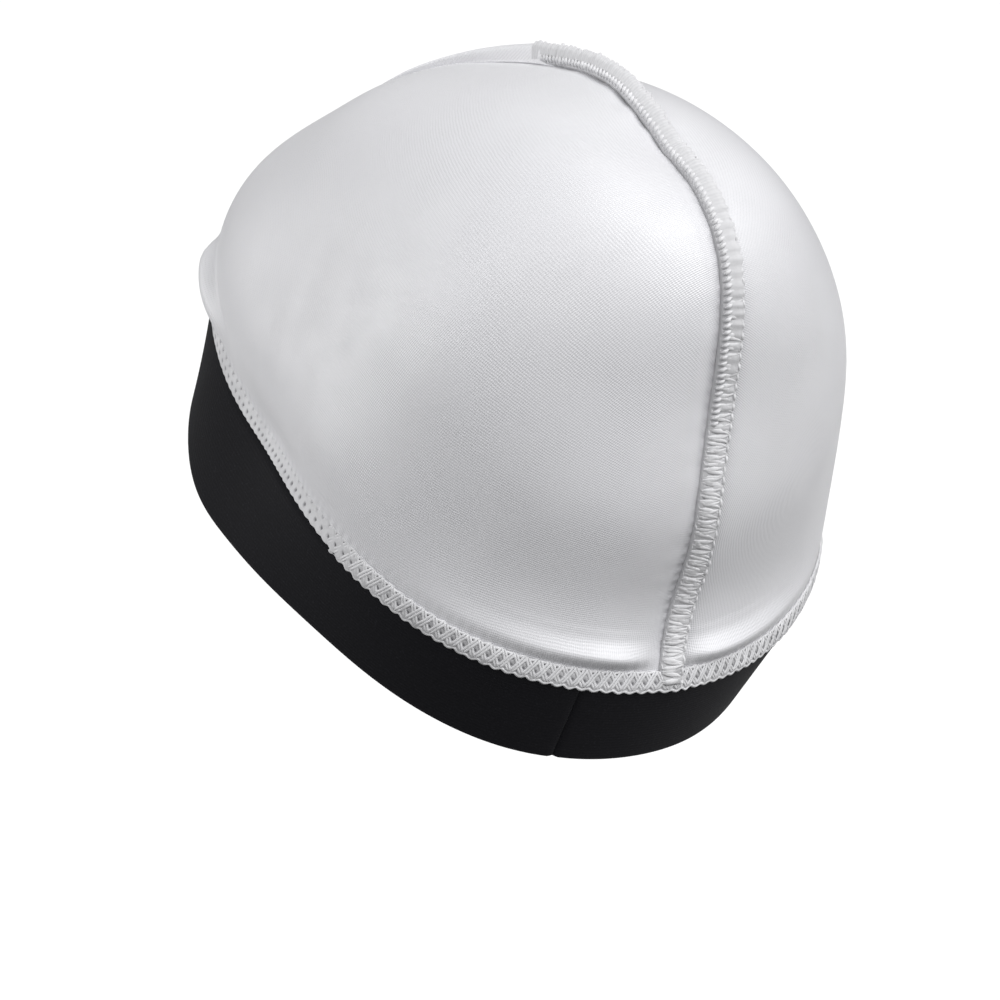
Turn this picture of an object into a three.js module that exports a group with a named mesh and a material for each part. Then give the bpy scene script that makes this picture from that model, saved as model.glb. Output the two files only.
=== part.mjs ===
// Wave cap in its worn form: a satin dome, the overlocked seam up its back, an elastic band
// and the flat stitching that joins band and dome.
// Millimetres, +Z up. The wearer faces -Y and the wearer's left is +X.
// The origin is the middle of the head opening, where the cap sits.
import * as THREE from 'three';

// Head opening and dome
const HALF_WIDTH = 75.8; // middle plane to the hem beside the ear
const FRONT_REACH = 132; // pole line to the hem at the forehead
const BACK_REACH = 77.6; // pole line to the hem at the nape
const DOME_HEIGHT = 113; // hem plane to the pole
const HEM_WAVE = 8; // how far the hem leaves its plane
const TILT = 34.7; // degrees that the hem plane drops towards the nape

// Cloth
const SATIN_WALL = 1;
const ELASTIC_WALL = 1.5;
const CLEARANCE = 0.3; // between pieces that are sewn together

// Elastic band
const BAND_WIDTH = 28.7; // hem to the band's lower edge
const BAND_JOIN_PLACE = 16.8; // degrees from the back's middle to where the band's ends meet
const BAND_JOIN_SLANT = 1; // degrees that the join moves on down the band's width

// Flat stitching over the hem
const RIBBON_WIDTH = 5.3;
const RIBBON_THICKNESS = 0.8;

// Back seam, its two raw edges overlocked into one standing allowance
const ALLOWANCE_WIDTH = 5.6;
const ALLOWANCE_THICKNESS = 1.6;
const SEAM_WANDER = 2.2; // largest sideways run of the needle line
const DIMPLE_DEPTH = 1.4; // where the seam draws the satin in
const DIMPLE_NEAR_SIDE = 6; // on the side away from the allowance
const DIMPLE_FAR_SIDE = 9; // under the allowance

// Fold of satin that stands on forward from the seam's end and dies away
const FOLD_HEIGHT = 5.2;
const FOLD_THICKNESS = 1.4;
const FOLD_WANDER = 14; // largest run to the wearer's left

// Fullness of the satin above the stitching
const ROLL_HEIGHT = 3.4; // soft roll of gathered satin at the nape
const ROLL_HALF_WIDTH = 5.2;
const ROLL_PINCH = 15; // half the stretch that the seam holds flat
const TEMPLE_ROLL_HEIGHT = 4.4; // short tight roll at each temple
const TEMPLE_ROLL_PLACE = 33.5; // degrees from the forehead's middle to its fullest place
const TEMPLE_ROLL_FRONT_REACH = 6; // degrees from there to its steep end at the forehead's side
const TEMPLE_ROLL_REAR_REACH = 16; // degrees from there to its soft end towards the ear
const SHOULDER_DEPTH = 4.6; // how far the stitching draws the satin in above the ear

// Five directions round the head, the same on both sides.
// hemLift is a share of HEM_WAVE and bandLean of BAND_WIDTH.
const DIRECTIONS = [
  { place: 'forehead', hemLift: 0.0, bandLean: -0.47 },
  { place: 'temple', hemLift: -1.0, bandLean: 0.08 },
  { place: 'ear', hemLift: 0.62, bandLean: -0.01 },
  { place: 'behind the ear', hemLift: 0.2, bandLean: -0.18 },
  { place: 'nape', hemLift: 0.0, bandLean: -0.14 },
];

// Nine evenly spaced directions, forehead to nape, the same on both sides.
// roll is a share of ROLL_HEIGHT and shoulder of SHOULDER_DEPTH.
const LOW_SATIN = [
  { roll: 0.1, shoulder: 0.0 },
  { roll: 0.0, shoulder: 0.0 },
  { roll: 0.0, shoulder: 0.6 },
  { roll: 0.0, shoulder: 1.05 },
  { roll: 0.0, shoulder: 0.9 },
  { roll: 0.0, shoulder: 0.35 },
  { roll: 0.1, shoulder: 0.0 },
  { roll: 0.6, shoulder: 0.0 },
  { roll: 1.0, shoulder: 0.0 },
];
const SHOULDER_PLACE_SHARE = 0.06; // share of the climb at which the shoulder is deepest

// Evenly spaced heights, hem to pole. Each share multiplies a plain elliptical dome
// in its direction, so rows of ones would be a half ellipsoid.
const SECTIONS = [
  { rise: 0.56, front: 1.0, temple: 0.97, side: 1.0, rearSide: 1.005, back: 1.0 },
  { rise: 0.627, front: 1.035, temple: 1.01, side: 1.08, rearSide: 0.985, back: 0.925 },
  { rise: 0.739, front: 1.045, temple: 1.005, side: 1.16, rearSide: 0.985, back: 1.025 },
  { rise: 0.86, front: 1.075, temple: 1.0, side: 1.32, rearSide: 1.015, back: 1.13 },
  { rise: 1.0, front: 0.955, temple: 1.01, side: 1.385, rearSide: 1.01, back: 1.415 },
  { rise: 1.0, front: 0.955, temple: 1.01, side: 1.385, rearSide: 1.01, back: 1.415 },
];

// Evenly spaced places along the back seam, nape to crown top.
// wander is a share of SEAM_WANDER, upright is a share of a right angle,
// dimple is a share of DIMPLE_DEPTH.
const SEAM_ROWS = [
  { wander: 0.6, upright: 0.26, dimple: 0.6 },
  { wander: -0.15, upright: 0.26, dimple: 1.0 },
  { wander: -0.3, upright: 0.24, dimple: 1.0 },
  { wander: 0.2, upright: 0.22, dimple: 1.0 },
  { wander: -0.1, upright: 0.22, dimple: 1.0 },
  { wander: -0.05, upright: 0.24, dimple: 0.8 },
  { wander: 0.0, upright: 0.27, dimple: 0.5 },
  { wander: 0.0, upright: 0.33, dimple: 0.3 },
  { wander: 0.3, upright: 0.45, dimple: 0.3 },
  { wander: -0.6, upright: 0.68, dimple: 0.2 },
  { wander: -1.0, upright: 0.88, dimple: 0.0 },
];
const SEAM_END_SHARE = 1.33; // share of the climb at the seam's end; past 1 it lies beyond the pole

// Evenly spaced places along the fold, from the seam's end forward.
// height is a share of FOLD_HEIGHT, sideways of FOLD_WANDER, upright of a right angle.
const FOLD_ROWS = [
  { height: 1.0, sideways: -0.15, upright: 0.88 },
  { height: 0.79, sideways: 0.0, upright: 0.95 },
  { height: 0.55, sideways: 0.25, upright: 1.0 },
  { height: 0.34, sideways: 0.58, upright: 1.0 },
  { height: 0.2, sideways: 0.82, upright: 1.0 },
  { height: 0.1, sideways: 1.0, upright: 1.0 },
];
const FOLD_END_SHARE = 1.6; // share of the climb at which the fold has died away

// Rounded cross-section of the seam allowance and the fold: shares of width and thickness
const ALLOWANCE_SECTION = [
  { across: 0.0, through: 0.25 },
  { across: 0.0, through: 0.75 },
  { across: 0.08, through: 1.0 },
  { across: 0.9, through: 1.0 },
  { across: 1.0, through: 0.7 },
  { across: 1.0, through: 0.3 },
  { across: 0.9, through: 0.0 },
  { across: 0.08, through: 0.0 },
];

// Cross-section of the flat stitching, outside up and inside down: shares of its width and thickness
const RIBBON_SECTION = [
  { height: 0.0, through: 0.5 },
  { height: 0.15, through: 1.0 },
  { height: 0.5, through: 0.9 },
  { height: 0.85, through: 1.0 },
  { height: 1.0, through: 0.5 },
  { height: 1.0, through: 0.0 },
  { height: 0.5, through: 0.0 },
  { height: 0.0, through: 0.0 },
];

// Fineness of the faceted walls
const STATIONS = 84; // round the head
const END_CROWDING = 0.45; // how much closer stations lie at the forehead and nape
const DOME_LEVELS = 19;
const LOW_CROWDING = 0.6; // how much closer levels lie near the hem
const BAND_LEVELS = 4;
const SEAM_STATIONS = 56;
const FOLD_STATIONS = 12;

// Short steps over which a surface's direction is taken
const ANGLE_STEP = 0.004;
const CLIMB_STEP = 0.001;
const HEM_CLIMB_STEP = 0.04;
const SEAM_CLIMB_STEP = 0.01;
const HEIGHT_STEP = 0.6;

const FULL_TURN = 2 * Math.PI;
const BACK_MIDDLE = Math.PI;
const FRONT_MIDDLE = 0;
const SIDEWAYS = new THREE.Vector3(1, 0, 0);
const STRAIGHT_UP = new THREE.Vector3(0, 0, 1);

// Natural cubic spline through evenly spaced values, read at a share from 0 to 1
function spline(values) {
  const last = values.length - 1;
  const bend = values.map(() => 0);
  const weight = values.map(() => 0);
  for (let i = 1; i < last; i += 1) {
    const step = 6 * (values[i + 1] - 2 * values[i] + values[i - 1]);
    weight[i] = 1 / (4 - weight[i - 1]);
    bend[i] = (step - bend[i - 1]) * weight[i];
  }
  for (let i = last - 1; i > 0; i -= 1) {
    bend[i] -= weight[i] * bend[i + 1];
  }
  return (share) => {
    const place = THREE.MathUtils.clamp(share, 0, 1) * last;
    const i = Math.min(Math.floor(place), last - 1);
    const u = place - i;
    const w = 1 - u;
    const curve = (w ** 3 - w) * bend[i] + (u ** 3 - u) * bend[i + 1];
    return w * values[i] + u * values[i + 1] + curve / 6;
  };
}

// Smooth ring value from values in evenly spaced directions, forehead to nape, as a cosine series
function around(values, angle) {
  const last = values.length - 1;
  const half = (index) => (index === 0 || index === last ? 0.5 : 1);
  let sum = 0;
  for (let wave = 0; wave <= last; wave += 1) {
    let strength = 0;
    for (let i = 0; i <= last; i += 1) {
      strength += half(i) * values[i] * Math.cos(Math.PI * wave * i / last);
    }
    sum += half(wave) * strength * Math.cos(wave * angle) * 2 / last;
  }
  return sum;
}

// Smooth bump: 1 at the middle, 0 from -1 and 1 outwards
function hump(x) {
  return Math.max(0, 1 - x * x) ** 2;
}

// The same with a flatter top and steeper sides
function steepHump(x) {
  return Math.max(0, 1 - x ** 4);
}

// Curve that starts from 0, reaches 1 at 1 and dies away
function earlyHump(x) {
  return x * Math.exp(1 - x);
}

const column = (table, name) => table.map((row) => row[name]);
const fullness = {};
for (const name of Object.keys(SECTIONS[0])) {
  fullness[name] = spline(column(SECTIONS, name));
}
const seamCurve = {};
for (const name of Object.keys(SEAM_ROWS[0])) {
  seamCurve[name] = spline(column(SEAM_ROWS, name));
}
const foldCurve = {};
for (const name of Object.keys(FOLD_ROWS[0])) {
  foldCurve[name] = spline(column(FOLD_ROWS, name));
}

// Reach of an ellipse half way between two of its main directions
function diagonal(a, b) {
  return a * b / Math.sqrt((a * a + b * b) / 2);
}

// Point of the smooth dome. angle 0 is the forehead, a quarter turn the left ear.
// climb is 0 at the hem and 1 at the pole.
function domePoint(angle, climb) {
  const turn = climb * Math.PI / 2;
  const front = FRONT_REACH * fullness.front(climb);
  const side = HALF_WIDTH * fullness.side(climb);
  const back = BACK_REACH * fullness.back(climb);
  const temple = diagonal(front, side) * fullness.temple(climb);
  const rearSide = diagonal(back, side) * fullness.rearSide(climb);
  const smooth = around([front, temple, side, rearSide, back], angle) * Math.cos(turn);
  const shoulder = around(column(LOW_SATIN, 'shoulder'), angle) * earlyHump(climb / SHOULDER_PLACE_SHARE);
  const reach = smooth - SHOULDER_DEPTH * shoulder;
  const lift = HEM_WAVE * around(column(DIRECTIONS, 'hemLift'), angle) * (1 - climb) ** 2;
  const rise = DOME_HEIGHT * Math.sin(turn) * fullness.rise(climb);
  return new THREE.Vector3(reach * Math.sin(angle), -reach * Math.cos(angle), rise + lift);
}

// Length up the cloth for each unit of climb, close to the hem
function lengthPerClimb(angle) {
  return domePoint(angle, HEM_CLIMB_STEP).distanceTo(domePoint(angle, 0)) / HEM_CLIMB_STEP;
}

// Point of the cloth by its height above the hem; below the hem it follows the band
function skinPoint(angle, height) {
  if (height >= 0) {
    return domePoint(angle, height / lengthPerClimb(angle));
  }
  const hem = domePoint(angle, 0);
  const along = domePoint(angle + ANGLE_STEP, 0).sub(domePoint(angle - ANGLE_STEP, 0)).setZ(0);
  const outward = along.cross(STRAIGHT_UP).normalize();
  const lean = -height * around(column(DIRECTIONS, 'bandLean'), angle);
  const drop = Math.sqrt(height * height - lean * lean);
  return hem.addScaledVector(outward, lean).addScaledVector(STRAIGHT_UP, -drop);
}

// Outward direction of a surface that takes an angle and a second value
function outwardOf(surface, angle, value, valueStep) {
  const along = surface(angle + ANGLE_STEP, value).sub(surface(angle - ANGLE_STEP, value));
  const upward = surface(angle, value + valueStep).sub(surface(angle, value - valueStep));
  return along.cross(upward).normalize();
}

// Share of the seam's run at a climb
function seamStart() {
  return (RIBBON_WIDTH + CLEARANCE) / lengthPerClimb(BACK_MIDDLE);
}
function seamShare(seamClimb) {
  return (seamClimb - seamStart()) / (SEAM_END_SHARE - seamStart());
}

// Rolls of gathered satin above the stitching. The back seam pinches the one at the nape flat.
function rollHeight(angle, height, acrossSeam) {
  const free = Math.cos(angle) < 0 ? 1 - hump(acrossSeam / ROLL_PINCH) : 1;
  const atNape = ROLL_HEIGHT * around(column(LOW_SATIN, 'roll'), angle) * free;
  const fromFront = Math.abs(THREE.MathUtils.euclideanModulo(angle + Math.PI, FULL_TURN) - Math.PI);
  const fromTemple = THREE.MathUtils.radToDeg(fromFront) - TEMPLE_ROLL_PLACE;
  const toFront = steepHump(fromTemple / TEMPLE_ROLL_FRONT_REACH);
  const toRear = hump(fromTemple / TEMPLE_ROLL_REAR_REACH);
  const atTemple = TEMPLE_ROLL_HEIGHT * (fromTemple < 0 ? toFront : toRear);
  return (atNape + atTemple) * hump((height - RIBBON_WIDTH) / ROLL_HALF_WIDTH - 1);
}

// Shallow valley along the back seam, fading out towards the stitching
function dimpleDepth(seamClimb, height, acrossSeam) {
  if (seamClimb > SEAM_END_SHARE) {
    return 0;
  }
  const reach = acrossSeam > 0 ? DIMPLE_NEAR_SIDE : DIMPLE_FAR_SIDE;
  const clearOfStitching = Math.min(1, height / (RIBBON_WIDTH + ROLL_HALF_WIDTH)) ** 2;
  return DIMPLE_DEPTH * seamCurve.dimple(seamShare(seamClimb)) * hump(acrossSeam / reach) * clearOfStitching;
}

// How far the satin stands out from the smooth dome, or is drawn in
function satinRelief(angle, climb, point) {
  const atBack = Math.cos(angle) < 0;
  const height = climb * lengthPerClimb(angle);
  return rollHeight(angle, height, point.x) - dimpleDepth(atBack ? climb : 2 - climb, height, point.x);
}

// Point of the satin's outside, or of a layer at a depth below it
function satinPoint(angle, climb, depth) {
  const point = domePoint(angle, climb);
  const outward = climb < 1 ? outwardOf(domePoint, angle, climb, CLIMB_STEP) : STRAIGHT_UP;
  return point.clone().addScaledVector(outward, satinRelief(angle, climb, point) - depth);
}

// Point at an offset outside the cloth, by height above the hem
function offsetPoint(angle, height, offset) {
  const outward = outwardOf(skinPoint, angle, height, HEIGHT_STEP);
  return skinPoint(angle, height).addScaledVector(outward, offset);
}

// Angle of a station, with stations closer together at the forehead and nape
function stationAngle(turn) {
  return turn - END_CROWDING * Math.sin(2 * turn) / 2;
}

// Closed body from rows of points. Every row is a closed loop of as many points.
// With two end points the rows are closed by a fan at each end, otherwise they run round.
function closedBody(rows, ends) {
  const loop = rows[0].length;
  const points = rows.flat();
  const faces = [];
  const bands = ends ? rows.length - 1 : rows.length;
  for (let row = 0; row < bands; row += 1) {
    const next = (row + 1) % rows.length;
    for (let i = 0; i < loop; i += 1) {
      const j = (i + 1) % loop;
      const corners = [row * loop + i, row * loop + j, next * loop + j, next * loop + i];
      faces.push(corners[0], corners[1], corners[2], corners[0], corners[2], corners[3]);
    }
  }
  if (ends) {
    const lastRow = (rows.length - 1) * loop;
    const start = points.push(ends[0]) - 1;
    const finish = points.push(ends[1]) - 1;
    for (let i = 0; i < loop; i += 1) {
      const j = (i + 1) % loop;
      faces.push(start, j, i, lastRow + i, lastRow + j, finish);
    }
  }
  const geometry = new THREE.BufferGeometry().setFromPoints(points);
  geometry.setIndex(faces);
  geometry.computeVertexNormals();
  return geometry;
}

function middleOf(points) {
  const sum = new THREE.Vector3();
  points.forEach((point) => sum.add(point));
  return sum.divideScalar(points.length);
}

function loopAt(pointAt) {
  const points = [];
  for (let i = 0; i < STATIONS; i += 1) {
    points.push(pointAt(stationAngle(FULL_TURN * i / STATIONS)));
  }
  return points;
}

// Satin dome: a thin shell, inside from the pole down and outside back up to it
function makeCrown() {
  const edgeHeight = (RIBBON_WIDTH + CLEARANCE) / 2;
  const climbAt = (angle, level) => {
    const edge = edgeHeight / lengthPerClimb(angle);
    const share = level / DOME_LEVELS;
    const crowded = share * (1 - LOW_CROWDING + LOW_CROWDING * share);
    return THREE.MathUtils.lerp(edge, 1, crowded);
  };
  const layer = (level, depth) => loopAt((angle) => satinPoint(angle, climbAt(angle, level), depth));
  const inside = [];
  const outside = [];
  for (let level = 0; level < DOME_LEVELS; level += 1) {
    inside.unshift(layer(level, SATIN_WALL));
    outside.push(layer(level, 0));
  }
  const poles = [satinPoint(BACK_MIDDLE, 1, SATIN_WALL), satinPoint(BACK_MIDDLE, 1, 0)];
  return closedBody([...inside, ...outside], poles);
}

// Point of the satin's middle line; past the pole it runs down the forehead side
function middleLinePoint(seamClimb) {
  if (seamClimb <= 1) {
    return satinPoint(BACK_MIDDLE, seamClimb, 0);
  }
  return satinPoint(FRONT_MIDDLE, 2 - seamClimb, 0);
}

// Cross-section that stands on the satin: upright is 0 when it lies flat and 1 when it stands
function standingSection(surfacePoint, forward, outward, upright, width, thickness) {
  const lean = upright * Math.PI / 2;
  const across = outward.clone().applyAxisAngle(forward, Math.PI / 2 - lean);
  const through = outward.clone().applyAxisAngle(forward, -lean);
  const foot = surfacePoint.clone().addScaledVector(outward, CLEARANCE);
  return ALLOWANCE_SECTION.map((corner) => foot.clone()
    .addScaledVector(across, width * corner.across)
    .addScaledVector(through, thickness * corner.through));
}

// Overlocked allowance: it leans over to the wearer's right and stands up towards the crown top
function allowanceSections() {
  const sections = [];
  for (let i = 0; i < SEAM_STATIONS; i += 1) {
    const share = i / (SEAM_STATIONS - 1);
    const climb = THREE.MathUtils.lerp(seamStart(), SEAM_END_SHARE, share);
    const ahead = middleLinePoint(climb + SEAM_CLIMB_STEP);
    const forward = ahead.sub(middleLinePoint(climb - SEAM_CLIMB_STEP)).normalize();
    const outward = forward.clone().cross(SIDEWAYS);
    const point = middleLinePoint(climb).addScaledVector(SIDEWAYS, SEAM_WANDER * seamCurve.wander(share));
    const upright = seamCurve.upright(share);
    sections.push(standingSection(point, forward, outward, upright, ALLOWANCE_WIDTH, ALLOWANCE_THICKNESS));
  }
  return sections;
}

// Point of the satin on the forehead side of the pole, a little to the side of the middle line
function foldPoint(share) {
  const climb = 2 - THREE.MathUtils.lerp(SEAM_END_SHARE, FOLD_END_SHARE, share);
  const reach = -domePoint(FRONT_MIDDLE, climb).y;
  return satinPoint(Math.asin(FOLD_WANDER * foldCurve.sideways(share) / reach), climb, 0);
}

// Fold of satin that the seam runs out into, bending to the wearer's left as it dies away
function foldSections() {
  const sections = [];
  for (let i = 1; i <= FOLD_STATIONS; i += 1) {
    const share = i / FOLD_STATIONS;
    const forward = foldPoint(share).sub(foldPoint(share - 1 / FOLD_STATIONS)).normalize();
    const outward = forward.clone().cross(SIDEWAYS).normalize();
    const height = FOLD_HEIGHT * foldCurve.height(share);
    const upright = foldCurve.upright(share);
    sections.push(standingSection(foldPoint(share), forward, outward, upright, height, FOLD_THICKNESS));
  }
  return sections;
}

// The back seam, overlocked as far as the crown top
function makeBackSeam() {
  const sections = [...allowanceSections(), ...foldSections()];
  return closedBody(sections, [middleOf(sections[0]), middleOf(sections.at(-1))]);
}

// Flat stitching: it lies over the edges of both cloths, all round the hem
function makeHemStitching() {
  const rows = RIBBON_SECTION.map((corner) => loopAt((angle) => offsetPoint(
    angle,
    RIBBON_WIDTH * corner.height,
    CLEARANCE + RIBBON_THICKNESS * corner.through,
  )));
  return closedBody(rows);
}

// Elastic band: one strip whose two ends meet left of the nape, its top edge under the stitching
function makeHeadband() {
  const topEdge = (RIBBON_WIDTH - CLEARANCE) / 2;
  const heights = [topEdge];
  for (let level = 0; level <= BAND_LEVELS; level += 1) {
    heights.push(-BAND_WIDTH * level / BAND_LEVELS);
  }
  const endGap = CLEARANCE / BACK_REACH;
  const start = BACK_MIDDLE - THREE.MathUtils.degToRad(BAND_JOIN_PLACE) + endGap / 2;
  const finish = start + FULL_TURN - endGap;
  const between = [];
  for (let i = 0; i < 2 * STATIONS; i += 1) {
    between.push(stationAngle(FULL_TURN * i / STATIONS));
  }
  const clearOfEnds = between.filter((angle) => angle > start + endGap && angle < finish - endGap);
  const slant = THREE.MathUtils.degToRad(BAND_JOIN_SLANT) / BAND_WIDTH;
  const sections = [start, ...clearOfEnds, finish].map((angle) => {
    const layer = (offset) => heights.map((height) => offsetPoint(angle - slant * height, height, offset));
    return [...layer(0), ...layer(-ELASTIC_WALL).reverse()];
  });
  return closedBody(sections, [middleOf(sections[0]), middleOf(sections.at(-1))]);
}

function piece(name, geometry, color, roughness) {
  const material = new THREE.MeshStandardMaterial({ color, roughness, metalness: 0 });
  const mesh = new THREE.Mesh(geometry, material);
  mesh.name = name;
  return mesh;
}

// The pieces are shaped on the hem plane, with the pole line upright, and then put as worn
const onHemPlane = new THREE.Group();
onHemPlane.add(
  piece('crown', makeCrown(), '#dcdcdf', 0.4),
  piece('crown_seam', makeBackSeam(), '#e6e6e6', 0.8),
  piece('hem_seam', makeHemStitching(), '#d9d9da', 0.8),
  piece('headband', makeHeadband(), '#1c1c20', 0.85),
);
onHemPlane.position.y = (FRONT_REACH - BACK_REACH) / 2;

const waveCap = new THREE.Group();
waveCap.add(onHemPlane);
waveCap.rotation.x = THREE.MathUtils.degToRad(-TILT);

export default waveCap;
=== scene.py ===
"""Wave cap as worn: satin crown, overlocked back seam, flat-stitched hem and elastic band.

Metres, +Z up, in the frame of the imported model. The wearer faces -Y and the wearer's left is +X.
Each sub-assembly is a class. They share one CapShape, which knows the smooth form of the cap and
how far the satin stands out from it.
"""
import logging
import math
from dataclasses import dataclass, field
from enum import Enum
from typing import Callable, NamedTuple, Optional, Sequence, Union

import bmesh
import bpy
import numpy as np
from mathutils import Matrix, Vector


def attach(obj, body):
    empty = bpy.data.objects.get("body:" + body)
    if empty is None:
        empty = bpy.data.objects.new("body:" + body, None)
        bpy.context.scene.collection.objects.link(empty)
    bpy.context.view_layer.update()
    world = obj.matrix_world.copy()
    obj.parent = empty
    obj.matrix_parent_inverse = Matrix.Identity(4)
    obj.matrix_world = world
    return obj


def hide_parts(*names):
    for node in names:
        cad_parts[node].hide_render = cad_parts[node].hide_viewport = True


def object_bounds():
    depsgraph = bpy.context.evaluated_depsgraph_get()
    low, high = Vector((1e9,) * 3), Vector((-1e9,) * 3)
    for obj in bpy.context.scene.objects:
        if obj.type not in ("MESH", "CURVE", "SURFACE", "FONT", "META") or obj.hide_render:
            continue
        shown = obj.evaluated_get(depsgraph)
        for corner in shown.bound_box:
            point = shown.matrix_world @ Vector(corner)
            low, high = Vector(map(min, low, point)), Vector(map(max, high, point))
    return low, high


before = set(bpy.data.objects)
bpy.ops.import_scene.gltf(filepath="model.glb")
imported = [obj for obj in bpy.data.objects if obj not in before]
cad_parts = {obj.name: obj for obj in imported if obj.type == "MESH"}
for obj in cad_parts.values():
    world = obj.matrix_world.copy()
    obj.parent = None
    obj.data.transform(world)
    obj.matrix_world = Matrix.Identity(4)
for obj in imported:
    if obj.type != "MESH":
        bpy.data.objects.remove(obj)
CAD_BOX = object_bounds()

LOG = logging.getLogger("wave_cap")
MM = 0.001
FULL_TURN = 2 * math.pi
TINY = 1e-12
BACK_MIDDLE = math.pi
FRONT_MIDDLE = 0.0
HEM_PITCH = 3.25 * MM

Colour = tuple[float, float, float, float]
Curve = Callable[[np.ndarray], np.ndarray]
Surface = Callable[[np.ndarray, np.ndarray], np.ndarray]


class Direction(NamedTuple):
    """One of five directions round the head, the same on both sides."""

    place: str
    hem_lift: float
    band_lean: float


class LowSatin(NamedTuple):
    """How the satin stands above the stitching in one of nine directions, forehead to nape."""

    roll: float
    shoulder: float


class Section(NamedTuple):
    """Shares of a plain elliptical dome at one height, hem to pole."""

    rise: float
    front: float
    temple: float
    side: float
    rear_side: float
    back: float


class SeamRow(NamedTuple):
    """One place along the back seam, nape to crown top."""

    wander: float
    upright: float
    dimple: float


class FoldRow(NamedTuple):
    """One place along the fold that the seam runs out into, from the seam's end forward."""

    height: float
    sideways: float
    upright: float


DIRECTIONS = (
    Direction("forehead", 0.0, -0.47),
    Direction("temple", -1.0, 0.08),
    Direction("ear", 0.62, -0.01),
    Direction("behind the ear", 0.2, -0.18),
    Direction("nape", 0.0, -0.14),
)

LOW_SATIN = (
    LowSatin(0.1, 0.0),
    LowSatin(0.0, 0.0),
    LowSatin(0.0, 0.6),
    LowSatin(0.0, 1.05),
    LowSatin(0.0, 0.9),
    LowSatin(0.0, 0.35),
    LowSatin(0.1, 0.0),
    LowSatin(0.6, 0.0),
    LowSatin(1.0, 0.0),
)

SECTIONS = (
    Section(0.56, 1.0, 0.97, 1.0, 1.005, 1.0),
    Section(0.627, 1.035, 1.01, 1.08, 0.985, 0.925),
    Section(0.739, 1.045, 1.005, 1.16, 0.985, 1.025),
    Section(0.86, 1.075, 1.0, 1.32, 1.015, 1.13),
    Section(1.0, 0.955, 1.01, 1.385, 1.01, 1.415),
    Section(1.0, 0.955, 1.01, 1.385, 1.01, 1.415),
)

SEAM_ROWS = (
    SeamRow(0.6, 0.26, 0.6),
    SeamRow(-0.15, 0.26, 1.0),
    SeamRow(-0.3, 0.24, 1.0),
    SeamRow(0.2, 0.22, 1.0),
    SeamRow(-0.1, 0.22, 1.0),
    SeamRow(-0.05, 0.24, 0.8),
    SeamRow(0.0, 0.27, 0.5),
    SeamRow(0.0, 0.33, 0.3),
    SeamRow(0.3, 0.45, 0.3),
    SeamRow(-0.6, 0.68, 0.2),
    SeamRow(-1.0, 0.88, 0.0),
)

FOLD_ROWS = (
    FoldRow(1.0, -0.15, 0.88),
    FoldRow(0.79, 0.0, 0.95),
    FoldRow(0.55, 0.25, 1.0),
    FoldRow(0.34, 0.58, 1.0),
    FoldRow(0.2, 0.82, 1.0),
    FoldRow(0.1, 1.0, 1.0),
)


class Wave(NamedTuple):
    """One slow wave of the draped satin: its turns along each axis, in radians a metre, and its start."""

    x: float
    y: float
    z: float
    start: float

    def at(self, point: np.ndarray) -> np.ndarray:
        """Height of the wave at each point, from -1 to 1."""
        return np.sin(self.x * point[..., 0] + self.y * point[..., 1] + self.z * point[..., 2] + self.start)


BROAD_WAVE = Wave(x=46.0, y=0.0, z=31.0, start=0.6)
CROSSING_WAVE = Wave(x=0.0, y=38.0, z=-27.0, start=1.1)
FINE_WAVE = Wave(x=0.0, y=90.0, z=60.0, start=0.0)


class Swell(NamedTuple):
    """How far a size of the seam's cloth follows each of the changes along it, as shares of the size."""

    base: float
    puff: float
    slow: float
    lumps: float
    knot: float
    ribs: float
    high_up: float

    def times(self, changes: dict[str, np.ndarray]) -> np.ndarray:
        """Share of the size at each place, from the strength of each change there.

        Args:
            changes: Strength of each change at each place, by the names above.

        Returns:
            The share at each place.
        """
        share = self.base
        for name, change in changes.items():
            share = share + getattr(self, name) * change
        return share


EDGE_SWELL = Swell(base=0.91, puff=0.04, slow=0.04, lumps=0.07, knot=0.06, ribs=0.0, high_up=0.03)
FAT_SWELL = Swell(base=0.6, puff=0.1, slow=0.06, lumps=0.18, knot=0.3, ribs=0.05, high_up=0.1)


def spline(values: Sequence[float]) -> Curve:
    """Natural cubic spline through evenly spaced values.

    Args:
        values: The values, first to last.

    Returns:
        A function that reads the curve at shares from 0 to 1.
    """
    points = np.asarray(values, float)
    last = len(points) - 1
    system = np.eye(last + 1)
    bends = np.zeros(last + 1)
    for i in range(1, last):
        system[i, i - 1:i + 2] = (1.0, 4.0, 1.0)
        bends[i] = 6 * (points[i + 1] - 2 * points[i] + points[i - 1])
    bend = np.linalg.solve(system, bends)

    def read(share: np.ndarray) -> np.ndarray:
        """Value of the curve at each share.

        Args:
            share: Shares of the curve's run.

        Returns:
            Values of the same shape.
        """
        place = np.clip(share, 0, 1) * last
        i = np.minimum(np.floor(place).astype(int), last - 1)
        u = place - i
        w = 1 - u
        curve = (w ** 3 - w) * bend[i] + (u ** 3 - u) * bend[i + 1]
        return w * points[i] + u * points[i + 1] + curve / 6

    return read


def column_curves(rows: Sequence[NamedTuple]) -> dict[str, Curve]:
    """Smooth curve through each column of a table, by the column's name."""
    return {name: spline([getattr(row, name) for row in rows]) for name in rows[0]._fields}


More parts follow.
